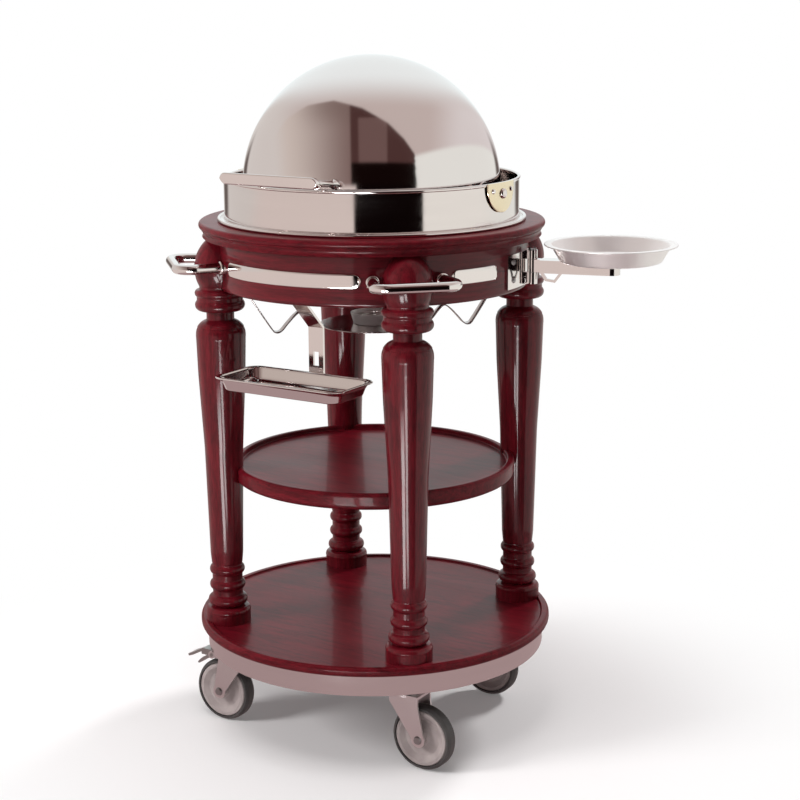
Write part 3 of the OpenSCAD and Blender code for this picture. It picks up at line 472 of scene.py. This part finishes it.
def metal(name, colour, rough, spread=0.05, lines=0.02, run=(1, 1, 1), coordinates="Object", second=None,
          metallic=1.0):
    """Polished or satin metal: roughness varies with smudges, and very fine polishing lines lie along
    run."""
    made, tree, shader = material(name)
    where = tree.nodes.new("ShaderNodeTexCoord")
    place = tree.nodes.new("ShaderNodeMapping")
    place.inputs["Scale"].default_value = run
    tree.links.new(where.outputs[coordinates], place.inputs["Vector"])
    marks = tree.nodes.new("ShaderNodeGroup")
    marks.node_tree = polish_group
    tree.links.new(place.outputs[0], marks.inputs[0])
    tone = tree.nodes.new("ShaderNodeMix")
    tone.data_type = "RGBA"
    tone.inputs[6].default_value = (*colour, 1.0)
    tone.inputs[7].default_value = (*(second or tuple(c * 0.93 for c in colour)), 1.0)
    tree.links.new(marks.outputs["Smudge"], tone.inputs[0])
    tree.links.new(tone.outputs[2], shader.inputs["Base Color"])
    spreading = tree.nodes.new("ShaderNodeMapRange")
    spreading.inputs["From Min"].default_value = 0.3
    spreading.inputs["From Max"].default_value = 0.7
    spreading.inputs["To Min"].default_value = rough
    spreading.inputs["To Max"].default_value = rough + spread
    tree.links.new(marks.outputs["Smudge"], spreading.inputs["Value"])
    tree.links.new(spreading.outputs[0], shader.inputs["Roughness"])
    bump = tree.nodes.new("ShaderNodeBump")
    bump.inputs["Strength"].default_value = lines
    bump.inputs["Distance"].default_value = 0.0001
    tree.links.new(marks.outputs["Lines"], bump.inputs["Height"])
    tree.links.new(bump.outputs[0], shader.inputs["Normal"])
    shader.inputs["Metallic"].default_value = metallic
    return made


sheet_steel = metal("stainless_sheet", STEEL, 0.07, run=(0.3, 6, 1), coordinates="UV")
skirt = skin("shelf_skirt", turned_grid(rounded(
    [(277.0, 168.3), (277.0, 134.6), (278.6, 134.6), (278.6, 168.3), (277.0, 168.3)],
    [0, 0.5, 0.8, 0.3, 0], 4)[:-1], 224), along=True)
fitted(skirt, "trolley", "steel", sheet_steel, "base_band")

# ---- Four legs
# Turned mahogany: foot block, three beads, a long taper that swells upwards, a
# shoulder, a neck, two rings and a ball that is lapped round the apron. A bolt
# holds each leg at the shelf and another at the apron.
LEG_CENTRE, FOOT, LENGTH, APRON, APRON_LOW = 247.0, 181.0, 631.0, 250.3, 733.0
EASED_ROWS, TOP_GAP = 12, 0.05
RIM_INNER, RIM_TOP = 276.8, 184.3


def leg_radius(z):
    """Radius of the turning at height z over the foot: the largest of its beads (circles), cylinders
    and the taper."""
    def bead(centre, middle, radius):
        inside = np.clip(radius ** 2 - (z - middle) ** 2, 0, None)
        return np.where(inside > 0, centre + np.sqrt(inside), 0)

    def plain(radius, low, high):
        return np.where((z >= low) & (z <= high), radius, 0)

    taper = np.interp(z, [100, 117, 224.2, 294, 411, 479.01], [24.9, 26.5, 29.25, 30.95, 37.5, 39.6],
                      left=0, right=0)
    return np.max([
        plain(24.5, 0, 101), plain(36.6, 0, 19), plain(29, 0, 26.7), bead(29, 19, 8),
        bead(23, 37, 9), bead(20, 63, 9), bead(19.5, 89, 9), taper, bead(16, 479, 24),
        plain(22, 476, 526), plain(31, 519, 533), bead(30, 526, 9.5), plain(36.5, 532, 542),
        bead(33, 545, 6.5), plain(32, 541, 563), bead(-21.5, 584, 60.5)], axis=0)


leg_wood = lacquered("lacquered_leg", (9.0, 9.0, 1.0), coat=0.42)
heights = np.concatenate([np.arange(0, 118, 0.7), np.arange(118, 455, 6.0), np.arange(455, LENGTH, 0.7),
                          [LENGTH]])
smooth = np.convolve(np.pad(leg_radius(heights), 1, mode="edge"), [0.25, 0.5, 0.25], mode="valid")
window = np.full(2 * EASED_ROWS + 1, 1 / (2 * EASED_ROWS + 1))
eased = np.convolve(np.pad(smooth, EASED_ROWS, mode="edge"), window, mode="valid")
smooth = np.where((heights > 464) & (heights < 490), np.minimum(eased, smooth), smooth)
for corner, angle in (("front_left", -45), ("front_right", 45), ("back_right", 135), ("back_left", -135)):
    profile = np.column_stack([smooth, heights + FOOT])
    lap = np.searchsorted(profile[:, 1], APRON_LOW)
    step = np.array([[np.interp(APRON_LOW, profile[:, 1], profile[:, 0]), APRON_LOW]])
    profile = np.vstack([[0, FOOT], profile[:lap], step, step, profile[lap:],
                         [0, FOOT + LENGTH - TOP_GAP]])
    profile[-2, 1] -= TOP_GAP
    grid = turned_grid(profile, 84)
    t = math.radians(angle)
    grid[..., 0] += LEG_CENTRE * math.sin(t)
    grid[..., 1] -= LEG_CENTRE * math.cos(t)
    out = np.hypot(grid[..., 0], grid[..., 1])
    upper = np.arange(len(profile)) > lap + 1
    press = np.where(upper[:, None] & (out < APRON), APRON / out, 1.0)
    grid[..., :2] *= press[..., None]
    low = (out > RIM_INNER) & (grid[..., 2] < RIM_TOP)
    grid[..., 2] = np.where(low, RIM_TOP, grid[..., 2])
    leg = skin(f"turned_leg_{corner}", grid)
    fitted(leg, "trolley", "mahogany", leg_wood, f"leg_{corner}")

# ---- Middle shelf
# A thick round board with a raised rounded rim, let in round the four legs
# and pinned to them with hidden dowels.
profile = rounded([(0, 416), (230, 416), (230, 443), (218.8, 443), (218.4, 435), (0, 435)],
                  [0, 8, 8.5, 2.2, 2.0, 0])
grid = turned_grid(profile, 720)
out = np.hypot(grid[..., 0], grid[..., 1])
around = np.arctan2(grid[..., 1], grid[..., 0])
off = around % (math.pi / 2) - math.pi / 4
NOTCH = 30.45
reach = np.clip(NOTCH ** 2 - (LEG_CENTRE * np.sin(off)) ** 2, 0, None)
limit = np.where(reach > 0, LEG_CENTRE * np.cos(off) - np.sqrt(reach), 1e9)
grid[..., :2] *= np.where(out > limit, limit / np.maximum(out, 1e-9), 1.0)[..., None]
fitted(skin("shelf_middle", grid), "trolley", "mahogany", board_wood, "middle_shelf")
painted(metal("hidden_bolts", (0.35, 0.34, 0.34), 0.35), "leg_bolts", "bracket_screws",
        "caster_plate_screws", "arm_pin", "axle_front_left", "axle_front_right", "axle_back_right",
        "axle_back_left")
maple = lacquered("oiled_maple", (1.0, 12.0, 12.0), dark=(0.48, 0.30, 0.15), light=(0.66, 0.46, 0.27),
                  gloss=0.5)
painted(maple, "shelf_dowels")

# ---- Apron, bands and worktop
# A deep ring of bent mahogany carries the worktop board, which has an ogee edge.
# Four stainless bands with rounded ends lie round the ring between the legs.
ring_wood = lacquered("lacquered_ring", (1.0, 14.0, 1.0), "UV", coat=0.5)
apron = skin("apron_ring", turned_grid(rounded(
    [(213, 811.9), (213, APRON_LOW), (250, APRON_LOW), (250, 811.9), (213, 811.9)],
    [0, 2, 5, 4, 0])[:-1], 224), along=True)
fitted(apron, "trolley", "mahogany", ring_wood, "apron")

hollow, nose = np.radians(np.arange(214, 133, -8)), np.radians(np.arange(-72, 91, 9))
worktop = np.vstack([
    [(213, 812), (270.4, 812)],
    np.column_stack([277 + 8 * np.cos(hollow), 816.5 + 8 * np.sin(hollow)]),
    [(271.4, 823.9)],
    np.column_stack([270.5 + 5.5 * np.cos(nose), 830.25 + 5.7 * np.sin(nose)]),
    [(268, 836), (264, 836), (213, 836)]])
fitted(skin("worktop_board", turned_grid(worktop, 224), along=True), "trolley", "mahogany", board_wood,
       "top_board")

bright_steel = metal("stainless_bright", (0.83, 0.775, 0.76), 0.06, spread=0.04)
BAND_HALF, BAND_HEIGHT, BAND_MIDDLE = 11, 773, 251.7
for name, start, stop in (("front", -29, 29), ("right", 61, 82), ("back", 151, 209), ("left", 241, 299)):
    end = math.degrees(BAND_HALF / BAND_MIDDLE)
    a = np.concatenate([start + end * (1 - np.cos(np.linspace(0, math.pi / 2, 12))),
                        np.linspace(start + end, stop - end, 60)[1:-1],
                        stop - end * (1 - np.cos(np.linspace(math.pi / 2, 0, 12)))])
    into = np.clip(np.minimum(a - start, stop - a) / end, 0, 1)
    half = BAND_HALF * np.sqrt(np.clip(1 - (1 - into) ** 2, 0, 1))
    s = np.array([-1, -1, -0.93, -0.8, 0, 0.8, 0.93, 1, 1])
    proud = np.array([250.3, 252.3, 252.9, 253.15, 253.2, 253.15, 252.9, 252.3, 250.3])
    t = np.radians(a)[:, None]
    radius = APRON + (proud - APRON)[None] * np.clip(into * 3, 0.0, 1)[:, None]
    grid = np.stack([radius * np.sin(t), -radius * np.cos(t), BAND_HEIGHT + half[:, None] * s[None]], -1)
    fitted(skin(f"apron_band_{name}", grid), "trolley", "steel", bright_steel, f"band_{name}")

# ---- Drum
# A straight-sided ring of polished stainless sheet with a rolled rim and a foot
# flange, screwed to the worktop from inside. Brass half rounds and short shafts
# at its two sides carry the dome.
foot_roll, rim_roll = np.radians(np.arange(-90, 200, 18)), np.radians(np.arange(-68, 200, 16))
drum = np.vstack([
    [(218, 836.1), (226, 836.1), (243, 836.05)],
    np.column_stack([243 + 2.95 * np.cos(foot_roll), 839 + 2.95 * np.sin(foot_roll)]),
    [(239.8, 838.0), (236.5, 838.0), (235.2, 838.6), (234.5, 840.2), (234.5, 842), (234.5, 897),
     (234.5, 899.6)],
    np.column_stack([233.6 + 2.55 * np.cos(rim_roll), 902.4 + 2.55 * np.sin(rim_roll)]),
    [(232.7, 899.3), (232.7, 897), (232.7, 840), (232.2, 838.4), (230.5, 838), (218, 838)]])
drum_steel = metal("stainless_drum", (0.80, 0.745, 0.73), 0.055, spread=0.05, run=(0.5, 6, 1),
                   coordinates="UV")
fitted(skin("drum_wall", turned_grid(drum, 256), along=True, sharp=50), "trolley", "steel", drum_steel,
       "drum")
painted(bright_steel, "drum_screws")

PIVOT = 888.0
brass = metal("brass_plate", (0.84, 0.70, 0.48), 0.16, spread=0.12, second=(0.90, 0.80, 0.62))


def merged(name, *pieces):
    """One object out of several meshes that belong to one piece."""
    work = bmesh.new()
    for p in pieces:
        work.from_mesh(p.data)
    mesh = bpy.data.meshes.new(name)
    work.to_mesh(mesh)
    work.free()
    for p in pieces:
        bpy.data.objects.remove(p)
    mesh.shade_smooth()
    mesh.set_sharp_from_angle(angle=math.radians(40))
    piece = bpy.data.objects.new(name, mesh)
    scene.collection.objects.link(piece)
    return piece


def half_round(side):
    """Half-round plate bent to the drum: its outline is a semicircle with a straight top, shrunk in
    steps towards its middle, at x = sqrt(R^2 - y^2)."""
    wide, centre, top = 40, 899, 904.9
    t = np.radians(np.linspace(180, 360, 60))
    outline = np.vstack([np.column_stack([wide * np.cos(t), centre + wide * np.sin(t)]),
                         np.column_stack([np.linspace(wide, -wide, 40), np.full(40, top)])])
    middle = np.array([0.0, 885.0])
    layers = [(0, 236.7), (1, 236.7), (1, 237.9), (0.985, 238.4), (0.96, 238.5), (0.5, 238.5), (0, 238.5)]
    rows = []
    for scale, radius in layers:
        p = middle + (outline - middle) * scale
        rows.append(np.column_stack([side * np.sqrt(radius ** 2 - p[:, 0] ** 2), p]))
    return skin("plate", np.stack(rows))


fitted(merged("pivot_half_rounds", half_round(1), half_round(-1)), "trolley", "brass", brass,
       "pivot_plates")


def along_x(profile, side, height, columns=64):
    """Turning about the pivot line: profile (x, r) carried round the X axis at the pivots' height."""
    g = turned_grid(np.asarray(profile, float)[:, ::-1], columns)
    return np.stack([side * g[..., 2], side * g[..., 0], g[..., 1] + height], -1)


shaft = [(189.6, 0), (189.6, 5.2), (190.4, 6), (206.5, 6), (206.5, 9), (207, 9.5), (232, 9.5),
         (232.4, 9.1), (232.4, 6), (238.8, 6), (238.8, 8.0), (239.6, 8.0), (241.2, 7.3),
         (242.6, 5.6), (243.4, 3.2), (243.7, 0)]
studs = [skin("stud", along_x(shaft, side, PIVOT), sharp=30) for side in (1, -1)]
fitted(merged("pivot_studs", *studs), "trolley", "steel", bright_steel, "pivot_shafts")
satin_grey = metal("grey_steel", (0.30, 0.28, 0.28), 0.32, spread=0.15, lines=0.08)
painted(satin_grey, "pan_frame")

# ---- Rolling dome
# A spun and polished half sphere of stainless steel that turns on two side
# pivots; its straight bar handle stands off on two posts.
SHELL_OUT, SHELL_IN = 204.65, 202.75
up = np.radians(np.linspace(0, 90, 110))
down = np.radians(np.linspace(90, 0, 60))
shell = np.vstack([
    [(203.2, PIVOT + 0.2), (204.2, PIVOT + 0.1)],
    np.column_stack([SHELL_OUT * np.cos(up[1:]), PIVOT + SHELL_OUT * np.sin(up[1:])]),
    np.column_stack([SHELL_IN * np.cos(down[:-1]), PIVOT + SHELL_IN * np.sin(down[:-1])])])
boss = [(197.1, 6.1), (197.1, 15), (198, 15.9), (205.1, 15.9), (205.9, 15.2), (205.9, 6.1)]
dome_steel = metal("stainless_dome", (0.82, 0.77, 0.76), 0.05, spread=0.045, second=(0.80, 0.745, 0.735))
dome = skin("dome_shell", turned_grid(shell, 256), along=True, sharp=60)
bosses = [skin("boss", along_x(boss, side, PIVOT), along=True, sharp=30) for side in (1, -1)]
dome = merged("rolling_dome", dome, *bosses)
fitted(dome, "dome", "steel", dome_steel, "dome")

TILT = math.radians(6.6)


def from_pivot(points):
    """Points given as (x, distance from the pivot line, height over the handle's plane), tilted 6.6
    degrees up at the front."""
    p = np.asarray(points, float)
    return np.stack([p[..., 0], -p[..., 1] * math.cos(TILT) - p[..., 2] * math.sin(TILT),
                     PIVOT + p[..., 1] * math.sin(TILT) + p[..., 2] * math.cos(TILT)], -1)


def soft_box(half_w, half_h, radius, per_corner=6):
    """Rectangle with rounded corners, counter-clockwise, as (x, y) points."""
    radius = min(radius, half_w * 0.98, half_h * 0.98)
    t = np.radians(np.concatenate([np.linspace(q, q + 90, per_corner) for q in (0, 90, 180, 270)]))
    quarter = np.repeat(np.arange(4), per_corner)
    sx = np.array([1, -1, -1, 1])[quarter]
    sy = np.array([1, 1, -1, -1])[quarter]
    return np.column_stack([sx * (half_w - radius) + radius * np.cos(t),
                            sy * (half_h - radius) + radius * np.sin(t)])


BAR_OUT, BAR_STRAIGHT, BAR_HALF = 276.9, 78, 9
x = np.concatenate([BAR_STRAIGHT + 8.9 * np.sin(np.linspace(math.pi / 2, 0, 12)),
                    np.linspace(BAR_STRAIGHT, 0, 12)[1:]])
x = np.concatenate([-x, x[::-1][1:]])
past = np.clip(np.abs(x) - BAR_STRAIGHT, 0, None) / BAR_HALF
tall = BAR_HALF * np.sqrt(np.clip(1 - past ** 2, 0.0, 1)) - 0.03
boxes = [soft_box(5.95, high, 3.0) for high in tall]
rows = [np.column_stack([np.full(len(box), px), BAR_OUT + box[:, 0], box[:, 1]])
        for px, box in zip(x, boxes)]
ends = [np.tile([[px, BAR_OUT, 0.0]], (len(boxes[0]), 1)) for px in (x[0], x[-1])]
rows = [ends[0]] + rows + [ends[1]]
bar = skin("bar", from_pivot(np.stack(rows)), sharp=50)
fitted(merged("dome_bar_handle", bar), "dome", "steel", bright_steel, "dome_handle")

POST_SEAT, NUT_SEAT, COLUMNS = 204.9, 202.4, 40
posts = []
for sx in (-60.0, 60.0):
    foot = math.sqrt(POST_SEAT ** 2 - sx ** 2)
    profile = np.array([(0, 271), (4.2, 271), (4.9, 270), (4.9, foot + 9), (5.4, foot + 5),
                        (7.5, foot + 2.5), (8.2, foot + 1), (8.2, foot - 3), (0, foot - 3)], float)
    t = np.linspace(0, 2 * math.pi, COLUMNS, endpoint=False)
    px = sx + profile[:, :1] * np.cos(t)
    pz = profile[:, :1] * np.sin(t)
    pd = np.repeat(profile[:, 1:], COLUMNS, 1)
    inner = np.sqrt(np.clip(POST_SEAT ** 2 - px ** 2 - pz ** 2, 0, None))
    pd = np.maximum(pd, inner)
    posts.append(skin("post", from_pivot(np.stack([px, pd, pz], -1)), sharp=50))
    nut = np.array([(0, 187.5), (4.6, 187.5), (5.4, 188.3), (5.4, 196), (0, 196)], float)
    nx, nz = sx + nut[:, :1] * np.cos(t), nut[:, :1] * np.sin(t)
    nd = np.minimum(np.repeat(nut[:, 1:], COLUMNS, 1), np.sqrt(NUT_SEAT ** 2 - nx ** 2 - nz ** 2))
    posts.append(skin("nut", from_pivot(np.stack([nx, nd, nz], -1)), sharp=50))
fitted(merged("dome_handle_studs", *posts), "dome", "steel", bright_steel, "dome_handle_posts")

# ---- Water pan and carving board
# Under the dome: a spun steel pan for hot water, hung in a ring, and a round
# maple board with a juice groove that lies on the pan's step.
pan = rounded([(0, 800), (156, 800), (162, 804), (167, 846), (177, 846), (180.5, 868), (186, 868),
               (186, 869.5), (179, 869.5), (175.6, 847.5), (165.5, 847.5), (160.5, 805), (155, 801.5),
               (0, 801.5)],
              [0, 3, 3, 2, 2, 1.5, 0.6, 0.6, 1.5, 2, 2, 3, 3, 0], 5)
fitted(skin("hot_water_pan", turned_grid(pan, 160), sharp=60), "water_pan", "steel", sheet_steel,
       "water_pan")
groove = np.radians(np.arange(0, 181, 20))
board = np.vstack([
    rounded([(0, 847.5), (172.9, 847.5), (172.9, 867.5), (160, 867.5)], [0, 2.5, 2.5, 0], 6)[:-1],
    [(160.4, 867.5)],
    np.column_stack([156 + 3.9 * np.cos(groove), 867.3 - 2.9 * np.sin(groove)]),
    [(151.6, 867.5), (148, 867.5), (0, 867.5)]])
fitted(skin("round_carving_board", turned_grid(board, 160), sharp=60), "carving_board", "maple", maple,
       "carving_board")

# ---- Burner
# A thin steel strap, bent down from the inside of the apron and up again, carries
# a round plate, a spun cup and a can of fuel under the pan.


def through(points, count):
    """Smooth curve through points, evenly spaced: cubic (Catmull-Rom) between each two, then resampled
    by length."""
    p = np.asarray(points, float)
    p = np.vstack([2 * p[0] - p[1], p, 2 * p[-1] - p[-2]])
    t = np.linspace(0, 1, 24, endpoint=False)[:, None]
    parts = []
    for a, b, c, d in zip(p[:-3], p[1:-2], p[2:-1], p[3:]):
        parts.append(0.5 * (2 * b + (c - a) * t + (2 * a - 5 * b + 4 * c - d) * t ** 2
                            + (3 * b - a - 3 * c + d) * t ** 3))
    fine = np.vstack(parts + [p[-2:-1]])
    run = np.concatenate([[0], np.cumsum(np.linalg.norm(np.diff(fine, axis=0), axis=1))])
    at = np.linspace(0, run[-1], count)
    return np.stack([np.interp(at, run, fine[:, k]) for k in range(fine.shape[1])], -1)


def swept_grid(path, section, across):
    """Section (a, b) carried along a path that lies in a plane: a runs along the fixed vector across,
    b along the path's normal in that plane; both ends are closed at their middles."""
    path, across = np.asarray(path, float), np.asarray(across, float)
    run = np.gradient(path, axis=0)
    run /= np.linalg.norm(run, axis=1)[:, None]
    normal = np.cross(run, across)
    normal /= np.linalg.norm(normal, axis=1)[:, None]
    body = path[:, None] + section[None, :, :1] * across + section[None, :, 1:] * normal[:, None]
    ends = [np.tile(path[i], (1, len(section), 1)) for i in (0, -1)]
    return np.concatenate([ends[0], body, ends[1]])


def outward(points, angle):
    """Points given as (distance out, sideways, height), turned so that 'out' lies at angle degrees
    from the front."""
    p, t = np.asarray(points, float), math.radians(angle - 90)
    return np.stack([p[..., 0] * math.cos(t) - p[..., 1] * math.sin(t),
                     p[..., 0] * math.sin(t) + p[..., 1] * math.cos(t), p[..., 2]], -1)


strap_line = [(211.4, 766.5), (211.4, 752), (211.3, 741), (207, 729), (196, 711), (168, 667.2),
              (160, 658.2), (150.8, 660), (140, 672), (128, 684.5), (118, 690.8), (109.5, 684.7),
              (98, 671), (91, 665.3), (80, 665.1)]
flat = through([(r, 0, z) for r, z in strap_line], 150)
strap_section = soft_box(8.95, 0.95, 0.8, 4)
pieces = [skin("arm", outward(swept_grid(flat, strap_section, (0, 1, 0)), a), sharp=50) for a in (-45, 135)]
plate = rounded([(0, 664.1), (85.8, 664.1), (85.8, 666.0), (0, 666.0)], [0, 0.8, 0.8, 0], 4)
pieces.append(skin("plate", turned_grid(plate, 120), sharp=50))
strap_steel = metal("stainless_strap", (0.50, 0.44, 0.435), 0.14, spread=0.06)
fitted(merged("burner_carrier", *pieces), "trolley", "grey_metal", strap_steel, "burner_strap")
spun_steel = metal("stainless_spun", (0.90, 0.86, 0.85), 0.30, spread=0.08, lines=0.05, metallic=0.55)
cup = rounded([(0, 666.1), (31, 666.1), (36, 684.1), (34.4, 684.1), (29.7, 667.6), (0, 667.6)],
              [0, 2, 0.6, 0.6, 2, 0], 5)
fitted(skin("burner_bowl", turned_grid(cup, 96), sharp=50), "trolley", "steel", spun_steel, "burner_cup")
can = rounded([(0, 667.7), (26, 667.7), (26, 680.2), (24.2, 680.2), (23.6, 678.9), (20, 678.6),
               (19.4, 676), (0, 676)], [0, 1, 0.7, 0.6, 0.8, 0.8, 1, 0], 5)
can_metal = metal("can_aluminium", (0.62, 0.60, 0.58), 0.25, spread=0.1)
fitted(skin("burner_fuel_can", turned_grid(can, 96), sharp=50), "fuel_can", "can", can_metal, "fuel_can")

# ---- Push handles
# Each is a bent stainless rod round a front leg, its two feet set in small
# flanges on the apron, with room for the fingers between rod and leg.
SPLAY, FOOT_HALF, ROD, BEND, FACE, STANDS_OFF = math.radians(13.2), 52.5, 8.0, 22, 250, 68
arm = (STANDS_OFF - BEND - BEND * math.sin(SPLAY)) / math.cos(SPLAY)
rod_out = float(FACE + STANDS_OFF)
bend_x, bend_y = rod_out - BEND, FOOT_HALF + arm * math.sin(SPLAY) - BEND * math.cos(SPLAY)
swing = np.linspace(math.pi / 2 + SPLAY, 0, 18)
one = np.vstack([
    np.column_stack([FACE + np.linspace(-9, arm, 14) * math.cos(SPLAY),
                     FOOT_HALF + np.linspace(-9, arm, 14) * math.sin(SPLAY)])[:-1],
    np.column_stack([bend_x + BEND * np.cos(swing), bend_y + BEND * np.sin(swing)]),
    np.column_stack([np.full(6, rod_out), np.linspace(bend_y, 0, 8)[1:-1]])])
rod_line = np.vstack([one, [[rod_out, 0.0]], one[::-1] * [1, -1]])
rod_line = np.column_stack([rod_line, np.full(len(rod_line), float(BAND_HEIGHT))])
t = np.linspace(0, 2 * math.pi, 28, endpoint=False)
rod_section = np.column_stack([ROD * np.sin(t), ROD * np.cos(t)])


def off_apron(grid):
    """Points inside the apron's outer face are moved straight out onto it."""
    out = np.hypot(grid[..., 0], grid[..., 1])
    grid[..., :2] *= np.where(out < APRON, APRON / np.maximum(out, 1e-9), 1.0)[..., None]
    return grid


feet = []
flange = np.array([(-9, 8.2), (-9, 10.6), (1.2, 10.9), (2.6, 10.5), (3.7, 9.2), (4.0, 8.2)])
for side, angle in (("left", -45), ("right", 45)):
    grid = swept_grid(rod_line, rod_section, (0, 0, 1))
    fitted(skin(f"push_handle_{side}", off_apron(outward(grid, angle)), sharp=50), "trolley", "steel",
           bright_steel, f"handle_front_{side}")
    for sy in (1, -1):
        g = turned_grid(flange[:, ::-1], 40)
        run, a, b = g[..., 2], g[..., 0], g[..., 1]
        local = np.stack([FACE + run * math.cos(SPLAY) - a * math.sin(SPLAY),
                          sy * (FOOT_HALF + run * math.sin(SPLAY) + a * math.cos(SPLAY)),
                          BAND_HEIGHT + b], -1)
        feet.append(skin("foot", off_apron(outward(local, angle)), along=True, sharp=40))
fitted(merged("push_handle_flanges", *feet), "trolley", "steel", bright_steel, "handle_flanges")

# ---- Plate arm
# A pressed steel arm swings on a pin in a bracket on the apron and carries a
# loose round plate.
painted(bright_steel, "arm_bracket", "plate_arm")
dish = rounded([(0, 780.1), (74, 780.1), (79, 782), (93, 806), (102.9, 806), (102.9, 808), (91.8, 808),
                (77.5, 783.5), (73, 781.8), (0, 781.8)], [0, 4, 5, 3, 0.9, 0.9, 4, 6, 4, 0], 6)
grid = turned_grid(dish, 128)
DISH_OUT, ARM_ANGLE = 386.5, 105
grid += outward([DISH_OUT, 0, 0], ARM_ANGLE)
fitted(skin("round_plate", grid, sharp=60), "plate_dish", "steel", spun_steel, "plate_dish")

# ---- Tray
# A pressed tray with rounded corners and a turned-over rim hangs under the
# front of the apron on a bent flat bar.
TRAY_AT, TRAY_HALF_W, TRAY_HALF_D, FLOOR_INSET = [3, -227.5], 118, 56, 19
rows = []
for inset, z in ((118, 594.1), (60, 594.1), (16, 594.1), (13.5, 595), (12.4, 597), (9.4, 606),
                 (5.6, 612.2), (2.5, 613.2), (0.5, 613.6), (0, 614.6), (0.6, 615.7), (2.2, 616),
                 (5.5, 615.8), (7.2, 614.6), (8.6, 611.5), (11.5, 602), (13.6, 597.4),
                 (16.5, 595.8), (19, 595.6), (60, 595.6), (118, 595.6)):
    if inset > 50:
        ring = soft_box(TRAY_HALF_W - FLOOR_INSET, TRAY_HALF_D - FLOOR_INSET, 12.5, 10)
        ring = ring * (1 - inset / TRAY_HALF_W)
    else:
        ring = soft_box(TRAY_HALF_W - inset, TRAY_HALF_D - inset, 22 - 0.5 * inset, 10)
    rows.append(np.column_stack([ring + TRAY_AT, np.full(len(ring), z)]))
fitted(skin("lift_off_tray", np.stack(rows), sharp=60), "tray", "steel", bright_steel, "tray")
painted(bright_steel, "tray_bracket")

# ---- Casters
# Zinc plated swivel forks with grey wheels and thin dark tyres; the front left
# and back left ones have a pedal brake.
zinc = metal("zinc_fork", (0.74, 0.70, 0.70), 0.26, spread=0.14, lines=0.05)
painted(zinc, "caster_plates", "fork_front_left", "fork_front_right", "fork_back_right",
        "fork_back_left")


def moulded(name, dark, light, rough, grain):
    """Moulded plastic or rubber: fine pebble in the surface and soft clouds of a second tone."""
    made, tree, shader = material(name)
    where = tree.nodes.new("ShaderNodeTexCoord")
    noise = tree.nodes.new("ShaderNodeTexNoise")
    noise.inputs["Scale"].default_value = 30.0
    noise.inputs["Detail"].default_value = 6.0
    tree.links.new(where.outputs["Object"], noise.inputs["Vector"])
    ramp = tree.nodes.new("ShaderNodeValToRGB")
    ramp.color_ramp.elements[0].position = 0.35
    ramp.color_ramp.elements[0].color = (*dark, 1.0)
    ramp.color_ramp.elements[1].position = 0.65
    ramp.color_ramp.elements[1].color = (*light, 1.0)
    tree.links.new(noise.outputs[0], ramp.inputs[0])
    tree.links.new(ramp.outputs[0], shader.inputs["Base Color"])
    pebble = tree.nodes.new("ShaderNodeTexNoise")
    pebble.inputs["Scale"].default_value = grain
    tree.links.new(where.outputs["Object"], pebble.inputs["Vector"])
    bump = tree.nodes.new("ShaderNodeBump")
    bump.inputs["Strength"].default_value = 0.25
    bump.inputs["Distance"].default_value = 0.0003
    tree.links.new(pebble.outputs[0], bump.inputs["Height"])
    tree.links.new(bump.outputs[0], shader.inputs["Normal"])
    shader.inputs["Roughness"].default_value = rough
    return made


wheel_plastic = moulded("grey_wheel", (0.31, 0.26, 0.255), (0.42, 0.36, 0.35), 0.38, 900.0)
tyre_rubber = moulded("dark_tyre", (0.045, 0.042, 0.042), (0.075, 0.070, 0.068), 0.55, 700.0)
pedal_zinc = metal("zinc_pedal", (0.42, 0.41, 0.40), 0.24, spread=0.14, lines=0.05)
painted(pedal_zinc, "brake_front_left", "brake_back_left")
wheel_line = rounded([(4.2, -16.4), (9, -16.4), (9.5, -7), (14, -5.5), (30, -5.5), (39, -11), (44, -11),
                      (45.9, -9), (45.9, 9), (44, 11), (39, 11), (30, 5.5), (14, 5.5), (9.5, 7),
                      (9, 16.4), (4.2, 16.4)],
                     [0, 1, 2, 3, 4, 1.5, 1, 1, 1, 1, 1.5, 4, 3, 2, 1, 0], 5)
tyre_line = rounded([(46.3, -11.4), (49.5, -11.4), (52.4, -6), (52.5, 0), (52.4, 6), (49.5, 11.4),
                     (46.3, 11.4)], [0, 1.5, 3, 8, 3, 1.5, 0], 6)
SWIVEL, TRAIL, WHEEL_RADIUS = 229, 32, 52.5
for corner, angle, side in (("front_left", -45, -1), ("front_right", 45, 1), ("back_right", 135, -1),
                            ("back_left", -135, -1)):
    t = math.radians(angle)
    centre = np.array([SWIVEL * math.sin(t) + side * TRAIL, -SWIVEL * math.cos(t), WHEEL_RADIUS])
    for label, line, paint, slot in (("wheel", wheel_line, wheel_plastic, "wheel_grey"),
                                     ("tyre", tyre_line, tyre_rubber, "tyre_grey")):
        g = turned_grid(line, 96)
        grid = np.stack([g[..., 0], g[..., 2], g[..., 1]], -1) + centre
        fitted(skin(f"caster_{label}_{corner}", grid, along=True, sharp=50), f"wheel_{corner}", slot,
               paint, f"{label}_{corner}")
